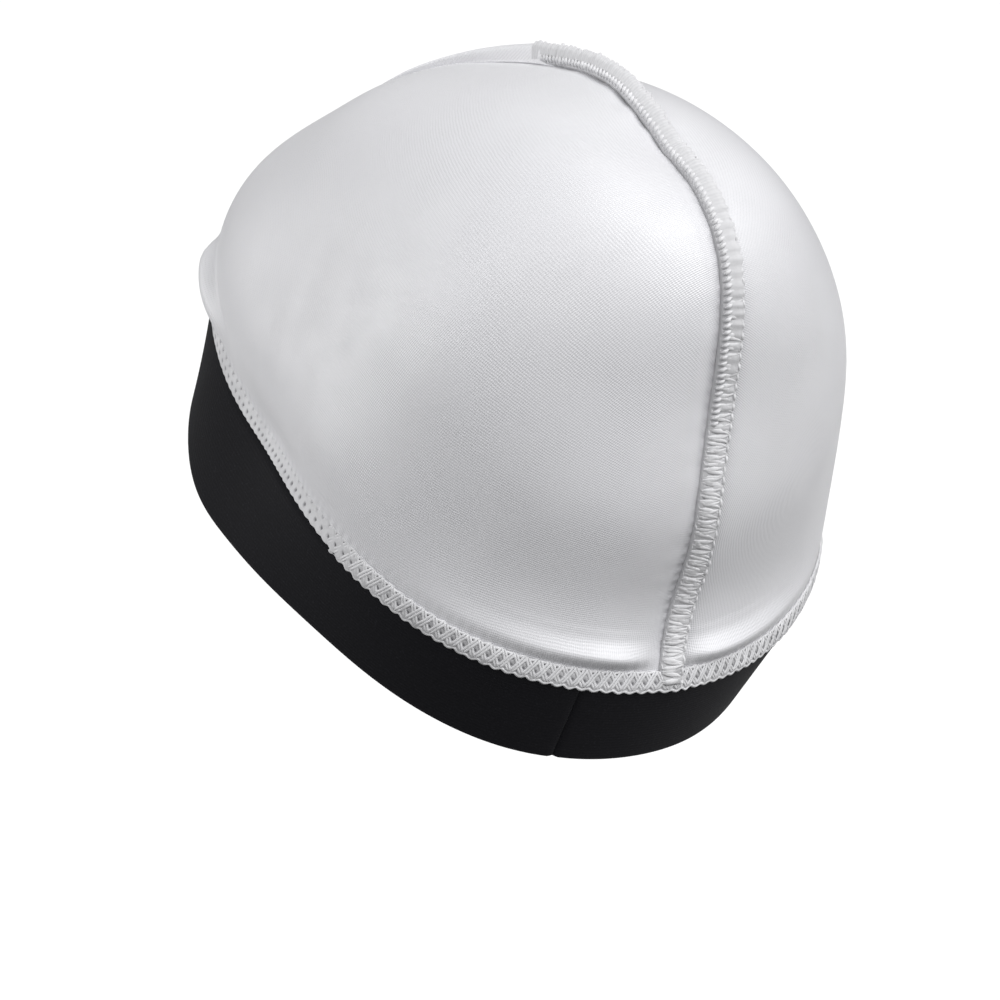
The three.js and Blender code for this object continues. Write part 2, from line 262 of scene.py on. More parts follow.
def around(values: Sequence[np.ndarray], angle: np.ndarray) -> np.ndarray:
    """Smooth ring value from values in evenly spaced directions, forehead to nape.

    Args:
        values: A value for each direction, numbers or arrays that fit angle.
        angle: Angles in radians, 0 at the forehead.

    Returns:
        The value at each angle.
    """
    last = len(values) - 1
    total = 0.0
    for wave in range(last + 1):
        strength = 0.0
        for i, value in enumerate(values):
            end = 0.5 if i in (0, last) else 1.0
            strength = strength + end * value * math.cos(math.pi * wave * i / last)
        end = 0.5 if wave in (0, last) else 1.0
        total = total + end * strength * np.cos(wave * angle) * 2 / last
    return total


def hump(x: np.ndarray) -> np.ndarray:
    """Smooth bump: 1 at 0, and 0 from -1 and 1 outwards."""
    return np.maximum(0.0, 1 - np.square(x)) ** 2


def early_hump(x: np.ndarray) -> np.ndarray:
    """Curve that starts from 0, reaches 1 at 1 and dies away."""
    return x * np.exp(1 - x)


def eased(share: np.ndarray) -> np.ndarray:
    """Rise from 0 to 1 that starts and ends level, and falls back to 0 at 2."""
    return 0.5 - 0.5 * np.cos(math.pi * share)


def smooth_step(x: np.ndarray, low: float, high: float) -> np.ndarray:
    """Smooth rise from 0 at low to 1 at high."""
    share = np.clip((x - low) / (high - low), 0, 1)
    return share * share * (3 - 2 * share)


def rounded(wave: np.ndarray, power: float) -> np.ndarray:
    """Wave from -1 to 1 with broader ends, the broader the smaller the power."""
    return np.sign(wave) * np.abs(wave) ** power


def unit(vectors: np.ndarray) -> np.ndarray:
    """Vectors of the same directions and a length of 1."""
    length = np.linalg.norm(vectors, axis=-1, keepdims=True)
    return vectors / np.maximum(length, TINY)


@dataclass
class CapShape:
    """The smooth form of the cap, worked out from a few driving sizes.

    The form is shaped on the hem plane with the pole line upright. place() puts points as worn.
    """

    half_width: float = 75.8 * MM
    front_reach: float = 132 * MM
    back_reach: float = 77.6 * MM
    dome_height: float = 113 * MM
    hem_wave: float = 8 * MM
    shoulder_depth: float = 4.6 * MM
    shoulder_climb: float = 0.06
    tilt: float = math.radians(34.7)
    clearance: float = 0.3 * MM
    band_width: float = 28.7 * MM
    ribbon_width: float = 5.3 * MM
    seam_wander: float = 2.2 * MM
    seam_end: float = 1.33
    dimple_depth: float = 1.4 * MM
    dimple_near_side: float = 6 * MM
    dimple_far_side: float = 9 * MM
    roll_height: float = 3.4 * MM
    roll_half_width: float = 5.2 * MM
    roll_pinch: float = 15 * MM
    temple_roll_height: float = 4.4 * MM
    temple_roll_place: float = math.radians(33.5)
    temple_roll_front_reach: float = math.radians(6)
    temple_roll_rear_reach: float = math.radians(16)
    fold_wander: float = 14 * MM
    fold_end: float = 1.6
    low_climb: float = 0.04
    angle_step: float = 0.004
    climb_step: float = 0.001
    height_step: float = 0.6 * MM
    fullness: dict[str, Curve] = field(init=False, repr=False)
    seam_curve: dict[str, Curve] = field(init=False, repr=False)
    fold_curve: dict[str, Curve] = field(init=False, repr=False)

    def __post_init__(self) -> None:
        """Turn the tables into smooth curves."""
        self.fullness = column_curves(SECTIONS)
        self.seam_curve = column_curves(SEAM_ROWS)
        self.fold_curve = column_curves(FOLD_ROWS)

    def direction_value(self, name: str, angle: np.ndarray) -> np.ndarray:
        """Smooth ring value of one column of the directions."""
        return around([getattr(row, name) for row in DIRECTIONS], angle)

    def low_value(self, name: str, angle: np.ndarray) -> np.ndarray:
        """Smooth ring value of one column of the low satin's directions."""
        return around([getattr(row, name) for row in LOW_SATIN], angle)

    def dome(self, angle: np.ndarray, climb: np.ndarray) -> np.ndarray:
        """Points of the smooth dome.

        Args:
            angle: Angles round the head, 0 at the forehead and a quarter turn at the left ear.
            climb: 0 at the hem and 1 at the pole.

        Returns:
            Points on the hem plane's axes, shape (..., 3).
        """
        turn = climb * math.pi / 2
        front = self.front_reach * self.fullness["front"](climb)
        side = self.half_width * self.fullness["side"](climb)
        back = self.back_reach * self.fullness["back"](climb)
        temple = front * side / np.sqrt((front ** 2 + side ** 2) / 2) * self.fullness["temple"](climb)
        rear = back * side / np.sqrt((back ** 2 + side ** 2) / 2) * self.fullness["rear_side"](climb)
        drawn_in = self.low_value("shoulder", angle) * early_hump(climb / self.shoulder_climb)
        reach = around([front, temple, side, rear, back], angle) * np.cos(turn)
        reach = reach - self.shoulder_depth * drawn_in
        lift = self.hem_wave * self.direction_value("hem_lift", angle) * (1 - climb) ** 2
        rise = self.dome_height * np.sin(turn) * self.fullness["rise"](climb)
        parts = (reach * np.sin(angle), -reach * np.cos(angle), rise + lift)
        return np.stack(np.broadcast_arrays(*parts), axis=-1)

    def per_climb(self, angle: np.ndarray) -> np.ndarray:
        """Length up the cloth for each unit of climb, close to the hem.

        Args:
            angle: Angles round the head.

        Returns:
            The length in metres at each angle.
        """
        chord = self.dome(angle, np.full_like(angle, self.low_climb)) - self.dome(angle, np.zeros_like(angle))
        return np.linalg.norm(chord, axis=-1) / self.low_climb

    def skin(self, angle: np.ndarray, height: np.ndarray) -> np.ndarray:
        """Points of the cloth by height above the hem. Below it they follow the band.

        Args:
            angle: Angles round the head.
            height: Heights above the hem line, measured up the cloth.

        Returns:
            Points on the hem plane's axes.
        """
        angle, height = np.broadcast_arrays(angle, height)
        upper = self.dome(angle, np.maximum(height, 0) / self.per_climb(angle))
        below = np.minimum(height, 0)
        zero = np.zeros_like(angle)
        along = self.dome(angle + self.angle_step, zero) - self.dome(angle - self.angle_step, zero)
        outward = unit(np.stack([along[..., 1], -along[..., 0], zero], axis=-1))
        lean = -below * self.direction_value("band_lean", angle)
        drop = np.sqrt(below ** 2 - lean ** 2)
        return upper + outward * lean[..., None] - np.stack([zero, zero, drop], axis=-1)

    def outward(self, surface: Surface, angle: np.ndarray, value: np.ndarray, step: float) -> np.ndarray:
        """Outward direction of a surface that takes an angle and a second value.

        Args:
            surface: The surface, a function of both values that gives points.
            angle: Angles round the head.
            value: The surface's second value at each angle.
            step: Change of the second value that shows the slope.

        Returns:
            Directions of a length of 1.
        """
        along = surface(angle + self.angle_step, value) - surface(angle - self.angle_step, value)
        upward = surface(angle, value + step) - surface(angle, value - step)
        return unit(np.cross(along, upward))

    def offset(self, angle: np.ndarray, height: np.ndarray, distance: np.ndarray) -> np.ndarray:
        """Points at a distance outside the cloth, by height above the hem.

        Args:
            angle: Angles round the head.
            height: Heights above the hem line.
            distance: Distances out of the cloth, below 0 for into it.

        Returns:
            Points on the hem plane's axes.
        """
        angle, height = np.broadcast_arrays(angle, height)
        outward = self.outward(self.skin, angle, height, self.height_step)
        return self.skin(angle, height) + outward * np.asarray(distance)[..., None]

    def seam_start(self) -> float:
        """Climb at which the standing seam leaves the stitching."""
        return (self.ribbon_width + self.clearance) / float(self.per_climb(np.array(BACK_MIDDLE)))

    def seam_share(self, seam_climb: np.ndarray) -> np.ndarray:
        """Share of the seam's run at a climb."""
        return (seam_climb - self.seam_start()) / (self.seam_end - self.seam_start())

    def roll(self, angle: np.ndarray, height: np.ndarray, across_seam: np.ndarray) -> np.ndarray:
        """Rolls of gathered satin above the stitching, at the nape and at each temple.

        Args:
            angle: Angles round the head.
            height: Heights above the hem line.
            across_seam: Distances from the back seam's plane.

        Returns:
            Heights of the rolls above the dome.
        """
        free = np.where(np.cos(angle) < 0, 1 - hump(across_seam / self.roll_pinch), 1.0)
        from_front = np.abs((angle + math.pi) % FULL_TURN - math.pi)
        from_temple = from_front - self.temple_roll_place
        to_front = np.maximum(0, 1 - (from_temple / self.temple_roll_front_reach) ** 4)
        to_rear = hump(from_temple / self.temple_roll_rear_reach)
        tall = self.roll_height * self.low_value("roll", angle) * free
        tall = tall + self.temple_roll_height * np.where(from_temple < 0, to_front, to_rear)
        return tall * hump((height - self.ribbon_width) / self.roll_half_width - 1)

    def dimple(self, seam_climb: np.ndarray, height: np.ndarray, across_seam: np.ndarray) -> np.ndarray:
        """Depth of the shallow valley along the back seam.

        Args:
            seam_climb: Climbs counted from the nape up and on down the forehead side.
            height: Heights above the hem line.
            across_seam: Distances from the seam's plane, above 0 on the wearer's left.

        Returns:
            Depths below the dome.
        """
        reach = np.where(across_seam > 0, self.dimple_near_side, self.dimple_far_side)
        clear = np.clip(height / (self.ribbon_width + self.roll_half_width), 0, 1) ** 2
        depth = self.dimple_depth * self.seam_curve["dimple"](self.seam_share(seam_climb))
        return np.where(seam_climb > self.seam_end, 0.0, depth * hump(across_seam / reach) * clear)

    def seam_run(self, angle: np.ndarray, climb: np.ndarray) -> np.ndarray:
        """Climb counted from the nape over the pole and on down the forehead side."""
        return np.where(np.cos(angle) < 0, climb, 2 - climb)

    def relief(self, angle: np.ndarray, climb: np.ndarray, point: np.ndarray) -> np.ndarray:
        """How far the satin stands out from the smooth dome, or is drawn in.

        Args:
            angle: Angles round the head.
            climb: 0 at the hem and 1 at the pole.
            point: Points of the smooth dome there.

        Returns:
            Heights above the dome, below 0 where the satin is drawn in.
        """
        height = climb * self.per_climb(angle)
        across = point[..., 0]
        return self.roll(angle, height, across) - self.dimple(self.seam_run(angle, climb), height, across)

    def satin(self, angle: np.ndarray, climb: np.ndarray, depth: float = 0.0) -> np.ndarray:
        """Points of the satin's outside, or of a layer at a depth below it.

        Args:
            angle: Angles round the head.
            climb: 0 at the hem and 1 at the pole.
            depth: Depth of the layer.

        Returns:
            Points on the hem plane's axes.
        """
        angle, climb = np.broadcast_arrays(angle, climb)
        point = self.dome(angle, climb)
        outward = self.outward(self.dome, angle, climb, self.climb_step)
        outward = np.where(climb[..., None] >= 1, (0.0, 0.0, 1.0), outward)
        return point + outward * (self.relief(angle, climb, point) - depth)[..., None]

    def middle_line(self, seam_climb: np.ndarray) -> np.ndarray:
        """Points of the satin's middle line, which past the pole runs down the forehead side."""
        angle = np.where(seam_climb <= 1, BACK_MIDDLE, FRONT_MIDDLE)
        return self.satin(angle, np.where(seam_climb <= 1, seam_climb, 2 - seam_climb))

    def fold_line(self, share: np.ndarray) -> np.ndarray:
        """Points of the satin under the fold, from the seam's end to where the fold has died away.

        Args:
            share: Shares of the fold's run.

        Returns:
            Points on the hem plane's axes.
        """
        climb = 2 - (self.seam_end + (self.fold_end - self.seam_end) * share)
        reach = -self.dome(np.zeros_like(climb), climb)[..., 1]
        return self.satin(np.arcsin(self.fold_wander * self.fold_curve["sideways"](share) / reach), climb)

    def place(self, points: np.ndarray) -> np.ndarray:
        """Points put as worn: moved to the head opening's middle and tilted."""
        return self.turn(points + (0.0, (self.front_reach - self.back_reach) / 2, 0.0))

    def turn(self, vectors: np.ndarray) -> np.ndarray:
        """Directions tilted as worn.

        Args:
            vectors: Directions on the hem plane's axes.

        Returns:
            The directions as worn.
        """
        x, y, z = np.moveaxis(vectors, -1, 0)
        cosine = math.cos(self.tilt)
        sine = math.sin(self.tilt)
        return np.stack([x, y * cosine + z * sine, z * cosine - y * sine], axis=-1)


def ring_lengths(points: np.ndarray) -> np.ndarray:
    """Distance run at each point of a line of points, from 0 at the first."""
    steps = np.linalg.norm(np.diff(points, axis=0), axis=-1)
    return np.concatenate([[0.0], np.cumsum(steps)])


class Body(NamedTuple):
    """Vertices and faces of a mesh in the making."""

    vertices: np.ndarray
    faces: list[tuple[int, ...]]


def skinned(rows: np.ndarray, wrap_rows: bool = False, cap_ends: bool = False) -> Body:
    """Skin over rows of points, in which every row is a closed loop.

    Args:
        rows: Points, shape (rows, points in a row, 3).
        wrap_rows: Join the last row to the first, for a ring.
        cap_ends: Close the first and the last row with a fan.

    Returns:
        The body's vertices and faces.
    """
    count, loop, _ = rows.shape
    vertices = rows.reshape(-1, 3)
    index = np.arange(count * loop).reshape(count, loop)
    upper = np.roll(index, -1, axis=0) if wrap_rows else index[1:]
    lower = index if wrap_rows else index[:-1]
    quads = np.stack([lower, np.roll(lower, -1, axis=1), np.roll(upper, -1, axis=1), upper], axis=-1)
    faces = [tuple(quad) for quad in quads.reshape(-1, 4).tolist()]
    if cap_ends:
        middles = np.stack([rows[0].mean(axis=0), rows[-1].mean(axis=0)])
        start = len(vertices)
        vertices = np.concatenate([vertices, middles])
        first = index[0].tolist()
        last = index[-1].tolist()
        for i in range(loop):
            j = (i + 1) % loop
            faces.append((start, first[j], first[i]))
            faces.append((start + 1, last[i], last[j]))
    return Body(vertices, faces)


def linked(name: str, data: bpy.types.ID) -> bpy.types.Object:
    """New object of the scene.

    Args:
        name: The object's name.
        data: Its mesh, light or camera.

    Returns:
        The object, at the origin.
    """
    item = bpy.data.objects.new(name, data)
    bpy.context.scene.collection.objects.link(item)
    return item


def finished(name: str, work: bmesh.types.BMesh, material: bpy.types.Material) -> bpy.types.Object:
    """Smooth piece of one finish from a mesh in the making, which is used up.

    Args:
        name: The piece's name.
        work: The mesh in the making.
        material: The piece's finish.

    Returns:
        The piece, linked to the scene and at the origin.
    """
    mesh = bpy.data.meshes.new(name)
    work.to_mesh(mesh)
    work.free()
    mesh.materials.append(material)
    mesh.polygons.foreach_set("material_index", np.zeros(len(mesh.polygons), np.int32))
    mesh.polygons.foreach_set("use_smooth", np.ones(len(mesh.polygons), bool))
    mesh.update()
    return linked(name, mesh)


def make_piece(name: str, body: Body, material: bpy.types.Material) -> bpy.types.Object:
    """Piece whose faces point outwards.

    Args:
        name: The piece's name.
        body: Vertices as worn, and faces.
        material: The piece's finish.

    Returns:
        The piece, linked to the scene and at the origin.
    """
    draft = bpy.data.meshes.new("draft")
    draft.from_pydata(body.vertices.tolist(), [], body.faces)
    work = bmesh.new()
    work.from_mesh(draft)
    bpy.data.meshes.remove(draft)
    if work.calc_volume(signed=True) < 0:
        bmesh.ops.reverse_faces(work, faces=work.faces)
    return finished(name, work, material)


def note_vectors(piece: bpy.types.Object, name: str, values: np.ndarray) -> None:
    """Keep one vector for each vertex as an attribute of the piece's mesh."""
    attribute = piece.data.attributes.new(name, "FLOAT_VECTOR", "POINT")
    attribute.data.foreach_set("vector", values.astype(np.float32).ravel())


def note_numbers(piece: bpy.types.Object, name: str, values: np.ndarray) -> None:
    """Keep one number for each vertex as an attribute of the piece's mesh."""
    attribute = piece.data.attributes.new(name, "FLOAT", "POINT")
    attribute.data.foreach_set("value", values.astype(np.float32).ravel())


def note_grain(piece: bpy.types.Object, flat: np.ndarray) -> None:
    """Give the piece a UV map from one flat place in metres for each vertex.

    Args:
        piece: The piece.
        flat: Flat places, shape (vertices, 2).
    """
    layer = piece.data.uv_layers.new(name="grain")
    corners = np.empty(len(piece.data.loops), dtype=np.int32)
    piece.data.loops.foreach_get("vertex_index", corners)
    layer.data.foreach_set("uv", flat[corners].astype(np.float32).ravel())


class NodeSketch:
    """Adds nodes to a tree and wires them, with few words for each."""

    NOISE_SPAN = (0.3, 0.7)
    FIRST_COLOUR = 6
    SECOND_COLOUR = 7
    MIXED_COLOUR = 2

    def __init__(self, tree: bpy.types.NodeTree) -> None:
        """Start on a tree."""
        self.tree = tree

    def put(self, node: bpy.types.Node, inputs: dict) -> None:
        """Fill sockets of a node.

        Args:
            node: The node.
            inputs: Socket name or number, and the value or output socket that goes in.
        """
        for key, value in inputs.items():
            if isinstance(value, bpy.types.NodeSocket):
                self.tree.links.new(value, node.inputs[key])
            else:
                node.inputs[key].default_value = value

    def add(self, kind: str, inputs: Optional[dict] = None, **settings: object) -> bpy.types.Node:
        """Add a node.

        Args:
            kind: Blender's name of the node type.
            inputs: Socket name or number, and the value or output socket that goes in.
            settings: Attributes of the node itself.

        Returns:
            The new node.
        """
        node = self.tree.nodes.new(kind)
        for name, value in settings.items():
            setattr(node, name, value)
        self.put(node, inputs or {})
        return node

    def math(self, operation: str, *values: object) -> bpy.types.NodeSocket:
        """Result of a Math node."""
        return self.add("ShaderNodeMath", dict(enumerate(values)), operation=operation).outputs[0]

    def vector(self, operation: str, *values: object) -> bpy.types.NodeSocket:
        """Vector result of a Vector Math node."""
        return self.add("ShaderNodeVectorMath", dict(enumerate(values)), operation=operation).outputs[0]

    def scaled(self, vector: bpy.types.NodeSocket, factor: object) -> bpy.types.NodeSocket:
        """Vector times a number."""
        return self.add("ShaderNodeVectorMath", {0: vector, "Scale": factor}, operation="SCALE").outputs[0]

    def parts(self, vector: bpy.types.NodeSocket) -> bpy.types.bpy_prop_collection:
        """The three numbers of a vector."""
        return self.add("ShaderNodeSeparateXYZ", {0: vector}).outputs

    def kept(self, name: str, output: str) -> bpy.types.NodeSocket:
        """Output of an Attribute node that reads what the piece keeps under a name."""
        return self.add("ShaderNodeAttribute", attribute_name=name).outputs[output]

    def noise(self, place: bpy.types.NodeSocket, scale: float, detail: float) -> bpy.types.NodeSocket:
        """Smooth random number that changes from place to place."""
        return self.add("ShaderNodeTexNoise", {"Vector": place, "Scale": scale, "Detail": detail}).outputs[0]

    def ramp(self, value: object, low: float, high: float,
             start: float = 0.0, end: float = 1.0) -> bpy.types.NodeSocket:
        """Smooth change from start at low to end at high."""
        inputs = {"Value": value, "From Min": low, "From Max": high, "To Min": start, "To Max": end}
        return self.add("ShaderNodeMapRange", inputs, interpolation_type="SMOOTHSTEP").outputs["Result"]

    def spread(self, noise: bpy.types.NodeSocket, start: float, end: float) -> bpy.types.NodeSocket:
        """Noise turned into a smooth change from start to end."""
        return self.ramp(noise, *self.NOISE_SPAN, start, end)

    def mix_colour(self, factor: object, first: object, second: object) -> bpy.types.NodeSocket:
        """Blend of two colours."""
        inputs = {0: factor, self.FIRST_COLOUR: first, self.SECOND_COLOUR: second}
        return self.add("ShaderNodeMix", inputs, data_type="RGBA").outputs[self.MIXED_COLOUR]

    def bump(self, height: bpy.types.NodeSocket) -> bpy.types.NodeSocket:
        """Normal of a surface with a fine relief, whose height is in metres."""
        return self.add("ShaderNodeBump", {"Height": height, "Distance": 1.0, "Strength": 1.0}).outputs[0]


def new_finish(name: str) -> tuple[bpy.types.Material, NodeSketch, bpy.types.Node]:
    """Material with an empty Principled shader.

    Args:
        name: The material's name.

    Returns:
        The material, a sketch of its tree and its shader node.
    """
    material = bpy.data.materials.new(name)
    material.use_nodes = True
    tree = material.node_tree
    tree.nodes.clear()
    sketch = NodeSketch(tree)
    shader = sketch.add("ShaderNodeBsdfPrincipled")
    sketch.add("ShaderNodeOutputMaterial", {"Surface": shader.outputs[0]})
    return material, sketch, shader


@dataclass(frozen=True)
class SatinFinish:
    """Thin silky knit: fine slanting ribs, a soft stretched shine, small stitch puckers and painted crease
    shade.
    """

    name: str = "silky_satin"
    colour: Colour = (0.68, 0.68, 0.70, 1.0)
    shaded: Colour = (0.62, 0.62, 0.645, 1.0)
    roughness: float = 0.39
    roughness_fall: float = 0.01
    roughness_rise: float = 0.015
    stretch: float = 0.55
    shine: float = 0.6
    sheen: float = 0.12
    sheen_roughness: float = 0.4
    mottle_scale: float = 45.0
    mottle_share: float = 0.6
    speckle_scale: float = 1400.0
    speckle_share: float = 0.4
    rib_pitch: float = 0.65 * MM
    rib_angle: float = math.radians(35)
    rib_depth: float = 0.027 * MM
    rib_wobble: float = 5.0
    wobble_scale: float = 260.0
    cross_pitch: float = 1.3
    cross_share: float = 0.6
    patch_scale: float = 60.0
    patch_low: float = 0.75
    patch_high: float = 1.1
    stitch_pitch: float = HEM_PITCH
    pucker_depth: float = 0.1 * MM
    pucker_full: float = 0.5 * MM
    pucker_reach: float = 2.2 * MM
    hem_pucker_full: float = 5.0 * MM
    hem_pucker_reach: float = 9.0 * MM
    # Painted shade: the colour the satin darkens to in the crease beside the back seam.
    crease: Colour = (0.36, 0.36, 0.38, 1.0)
    crease_shade_full: float = 0.6 * MM
    crease_reach: float = 3.2 * MM
    crease_shade_share: float = 0.45
    off_seam_below: float = 1 * MM

    def material(self) -> bpy.types.Material:
        """Build the material.

        Returns:
            The material. It reads the piece's grain map, seam_place and hem_place.
        """
        material, sketch, shader = new_finish(self.name)
        grain = sketch.add("ShaderNodeUVMap", uv_map="grain").outputs[0]
        mottle = sketch.noise(grain, self.mottle_scale, 3.0)
        speckle = sketch.math("MULTIPLY", sketch.noise(grain, self.speckle_scale, 2.0), self.speckle_share)
        blend = sketch.math("MULTIPLY_ADD", mottle, self.mottle_share, speckle)
        plain = sketch.mix_colour(blend, self.colour, self.shaded)
        ribs = sketch.math("MULTIPLY", self.ribs(sketch, grain), self.rib_depth)
        tangent = sketch.add("ShaderNodeTangent", direction_type="UV_MAP", uv_map="grain").outputs[0]
        shader.inputs["Base Color"].default_value = self.colour
        sketch.put(shader, {
            # Painted shade beside the back seam is mixed into the base colour here.
            "Base Color": sketch.mix_colour(self.painted_crease_shade(sketch), plain, self.crease),
            "Roughness": sketch.spread(mottle, self.roughness - self.roughness_fall,
                                       self.roughness + self.roughness_rise),
            "Anisotropic": self.stretch,
            "Specular IOR Level": self.shine,
            "Sheen Weight": self.sheen,
            "Sheen Roughness": self.sheen_roughness,
            "Tangent": tangent,
            "Normal": sketch.bump(sketch.math("ADD", ribs, self.puckers(sketch))),
        })
        return material

    def ribs(self, sketch: NodeSketch, grain: bpy.types.NodeSocket) -> bpy.types.NodeSocket:
        """Height of the fine slanting ribs, about 0 and of a size near 1, uneven as in a knit.

        Args:
            sketch: The material's tree.
            grain: Flat place on the cut cloth.

        Returns:
            The height, to be multiplied by the ribs' depth.
        """
        turned = sketch.add("ShaderNodeVectorRotate", {"Vector": grain, "Angle": self.rib_angle},
                            rotation_type="Z_AXIS").outputs[0]
        shift = sketch.math("MULTIPLY", sketch.noise(turned, self.wobble_scale, 2.0), self.rib_wobble)
        along = sketch.parts(turned)
        phase = sketch.math("MULTIPLY_ADD", along[0], FULL_TURN / self.rib_pitch, shift)
        cross_turn = FULL_TURN / (self.cross_pitch * self.rib_pitch)
        cross_phase = sketch.math("MULTIPLY_ADD", along[1], cross_turn, shift)
        cross = sketch.math("MULTIPLY", sketch.math("SINE", cross_phase), self.cross_share)
        patches = sketch.noise(turned, self.patch_scale, 1.0)
        strength = sketch.spread(patches, self.patch_low, self.patch_high)
        return sketch.math("MULTIPLY", sketch.math("ADD", sketch.math("SINE", phase), cross), strength)

    def painted_crease_shade(self, sketch: NodeSketch) -> bpy.types.NodeSocket:
        """How strongly painted shade darkens the satin in the crease beside the back seam.

        Args:
            sketch: The material's tree.

        Returns:
            0 on the open cloth, and the full share of painted shade at the seam.
        """
        seam = sketch.parts(sketch.kept("seam_place", "Vector"))
        off_seam = sketch.math("LESS_THAN", seam[1], self.off_seam_below)
        away = sketch.math("ADD", sketch.math("ABSOLUTE", seam[0]), off_seam)
        return sketch.ramp(away, self.crease_shade_full, self.crease_reach, self.crease_shade_share, 0.0)

    def puckers(self, sketch: NodeSketch) -> bpy.types.NodeSocket:
        """Height of the small pulls beside each stitch of the back seam and above the hem's stitching.

        Args:
            sketch: The material's tree.

        Returns:
            The height in metres.
        """
        turn = FULL_TURN / self.stitch_pitch
        seam = sketch.parts(sketch.kept("seam_place", "Vector"))
        seam_wave = sketch.math("SINE", sketch.math("MULTIPLY", seam[1], turn))
        away = sketch.math("ABSOLUTE", seam[0])
        seam_fade = sketch.ramp(away, self.pucker_full, self.pucker_reach, 1.0, 0.0)
        hem = sketch.parts(sketch.kept("hem_place", "Vector"))
        hem_wave = sketch.math("COSINE", sketch.math("MULTIPLY", hem[0], turn))
        hem_fade = sketch.ramp(hem[1], self.hem_pucker_full, self.hem_pucker_reach, 1.0, 0.0)
        seam_pull = sketch.math("MULTIPLY", seam_wave, seam_fade)
        hem_pull = sketch.math("MULTIPLY", hem_wave, hem_fade)
        return sketch.math("MULTIPLY", sketch.math("ADD", seam_pull, hem_pull), self.pucker_depth)


@dataclass(frozen=True)
class ThreadFinish:
    """Textured sewing thread: matt, with fine filaments, and painted shade in needle holes and between
    threads.
    """

    name: str = "white_thread"
    colour: Colour = (0.67, 0.67, 0.685, 1.0)
    # Painted shade: the dark colour for needle holes and the gaps between threads.
    painted_shade: Colour = (0.06, 0.06, 0.07, 1.0)
    roughness: float = 0.78
    sheen: float = 0.25
    sheen_roughness: float = 0.5
    filament_scale: float = 1900.0
    filament_depth: float = 0.07 * MM
    patch_scale: float = 160.0
    patch_tone: float = 0.22

    def material(self) -> bpy.types.Material:
        """Build the material.

        Returns:
            The material. It reads each point's share of painted shade, for needle holes and gaps between
            threads, from an attribute of the piece.
        """
        material, sketch, shader = new_finish(self.name)
        place = sketch.add("ShaderNodeTexCoord").outputs["Object"]
        fine = sketch.noise(place, self.filament_scale, 2.0)
        tone = sketch.spread(sketch.noise(place, self.patch_scale, 1.0), 0.0, self.patch_tone)
        # Painted shade read from the piece, or a random darker tone of the thread, whichever is darker.
        darker = sketch.math("MAXIMUM", sketch.kept("painted_shade", "Fac"), sketch.math("MULTIPLY", tone, fine))
        sketch.put(shader, {
            "Base Color": sketch.mix_colour(darker, self.colour, self.painted_shade),
            "Roughness": self.roughness,
            "Sheen Weight": self.sheen,
            "Sheen Roughness": self.sheen_roughness,
            "Normal": sketch.bump(sketch.math("MULTIPLY", fine, self.filament_depth)),
        })
        return material


@dataclass(frozen=True)
class ElasticFinish:
    """Black knitted elastic: fine ribs across the band, a fleecy surface and pale specks."""

    name: str = "black_elastic"
    colour: Colour = (0.005, 0.005, 0.0065, 1.0)
    speck: Colour = (0.016, 0.016, 0.02, 1.0)
    roughness: float = 0.85
    shine: float = 0.08
    sheen: float = 0.01
    sheen_roughness: float = 0.45
    rib_pitch: float = 1.1 * MM
    rib_depth: float = 0.012 * MM
    fleece_scale: float = 1500.0
    fleece_depth: float = 0.07 * MM
    speck_from: float = 0.52
    speck_full: float = 0.74
    patch_scale: float = 300.0
    patch_low: float = 0.25

    def material(self) -> bpy.types.Material:
        """Build the material.

        Returns:
            The material. It reads the piece's grain map.
        """
        material, sketch, shader = new_finish(self.name)
        grain = sketch.add("ShaderNodeUVMap", uv_map="grain").outputs[0]
        fleece = sketch.noise(grain, self.fleece_scale, 3.0)
        patches = sketch.spread(sketch.noise(grain, self.patch_scale, 3.0), self.patch_low, 1.0)
        specks = sketch.math("MULTIPLY", sketch.ramp(fleece, self.speck_from, self.speck_full), patches)
        phase = sketch.math("MULTIPLY", sketch.parts(grain)[1], FULL_TURN / self.rib_pitch)
        ribs = sketch.math("MULTIPLY", sketch.math("SINE", phase), self.rib_depth)
        sketch.put(shader, {
            "Base Color": sketch.mix_colour(specks, self.colour, self.speck),
            "Roughness": self.roughness,
            "Specular IOR Level": self.shine,
            "Sheen Weight": self.sheen,
            "Sheen Roughness": self.sheen_roughness,
            "Normal": sketch.bump(sketch.math("MULTIPLY_ADD", fleece, self.fleece_depth, ribs)),
        })
        return material


@dataclass(frozen=True)
class FloorFinish:
    """Plain pale studio floor."""

    name: str = "studio_floor"
    colour: Colour = (0.92, 0.92, 0.92, 1.0)
    roughness: float = 0.9

    def material(self) -> bpy.types.Material:
        """Build the material.

        Returns:
            The material.
        """
        material, sketch, shader = new_finish(self.name)
        sketch.put(shader, {"Base Color": self.colour, "Roughness": self.roughness})
        return material


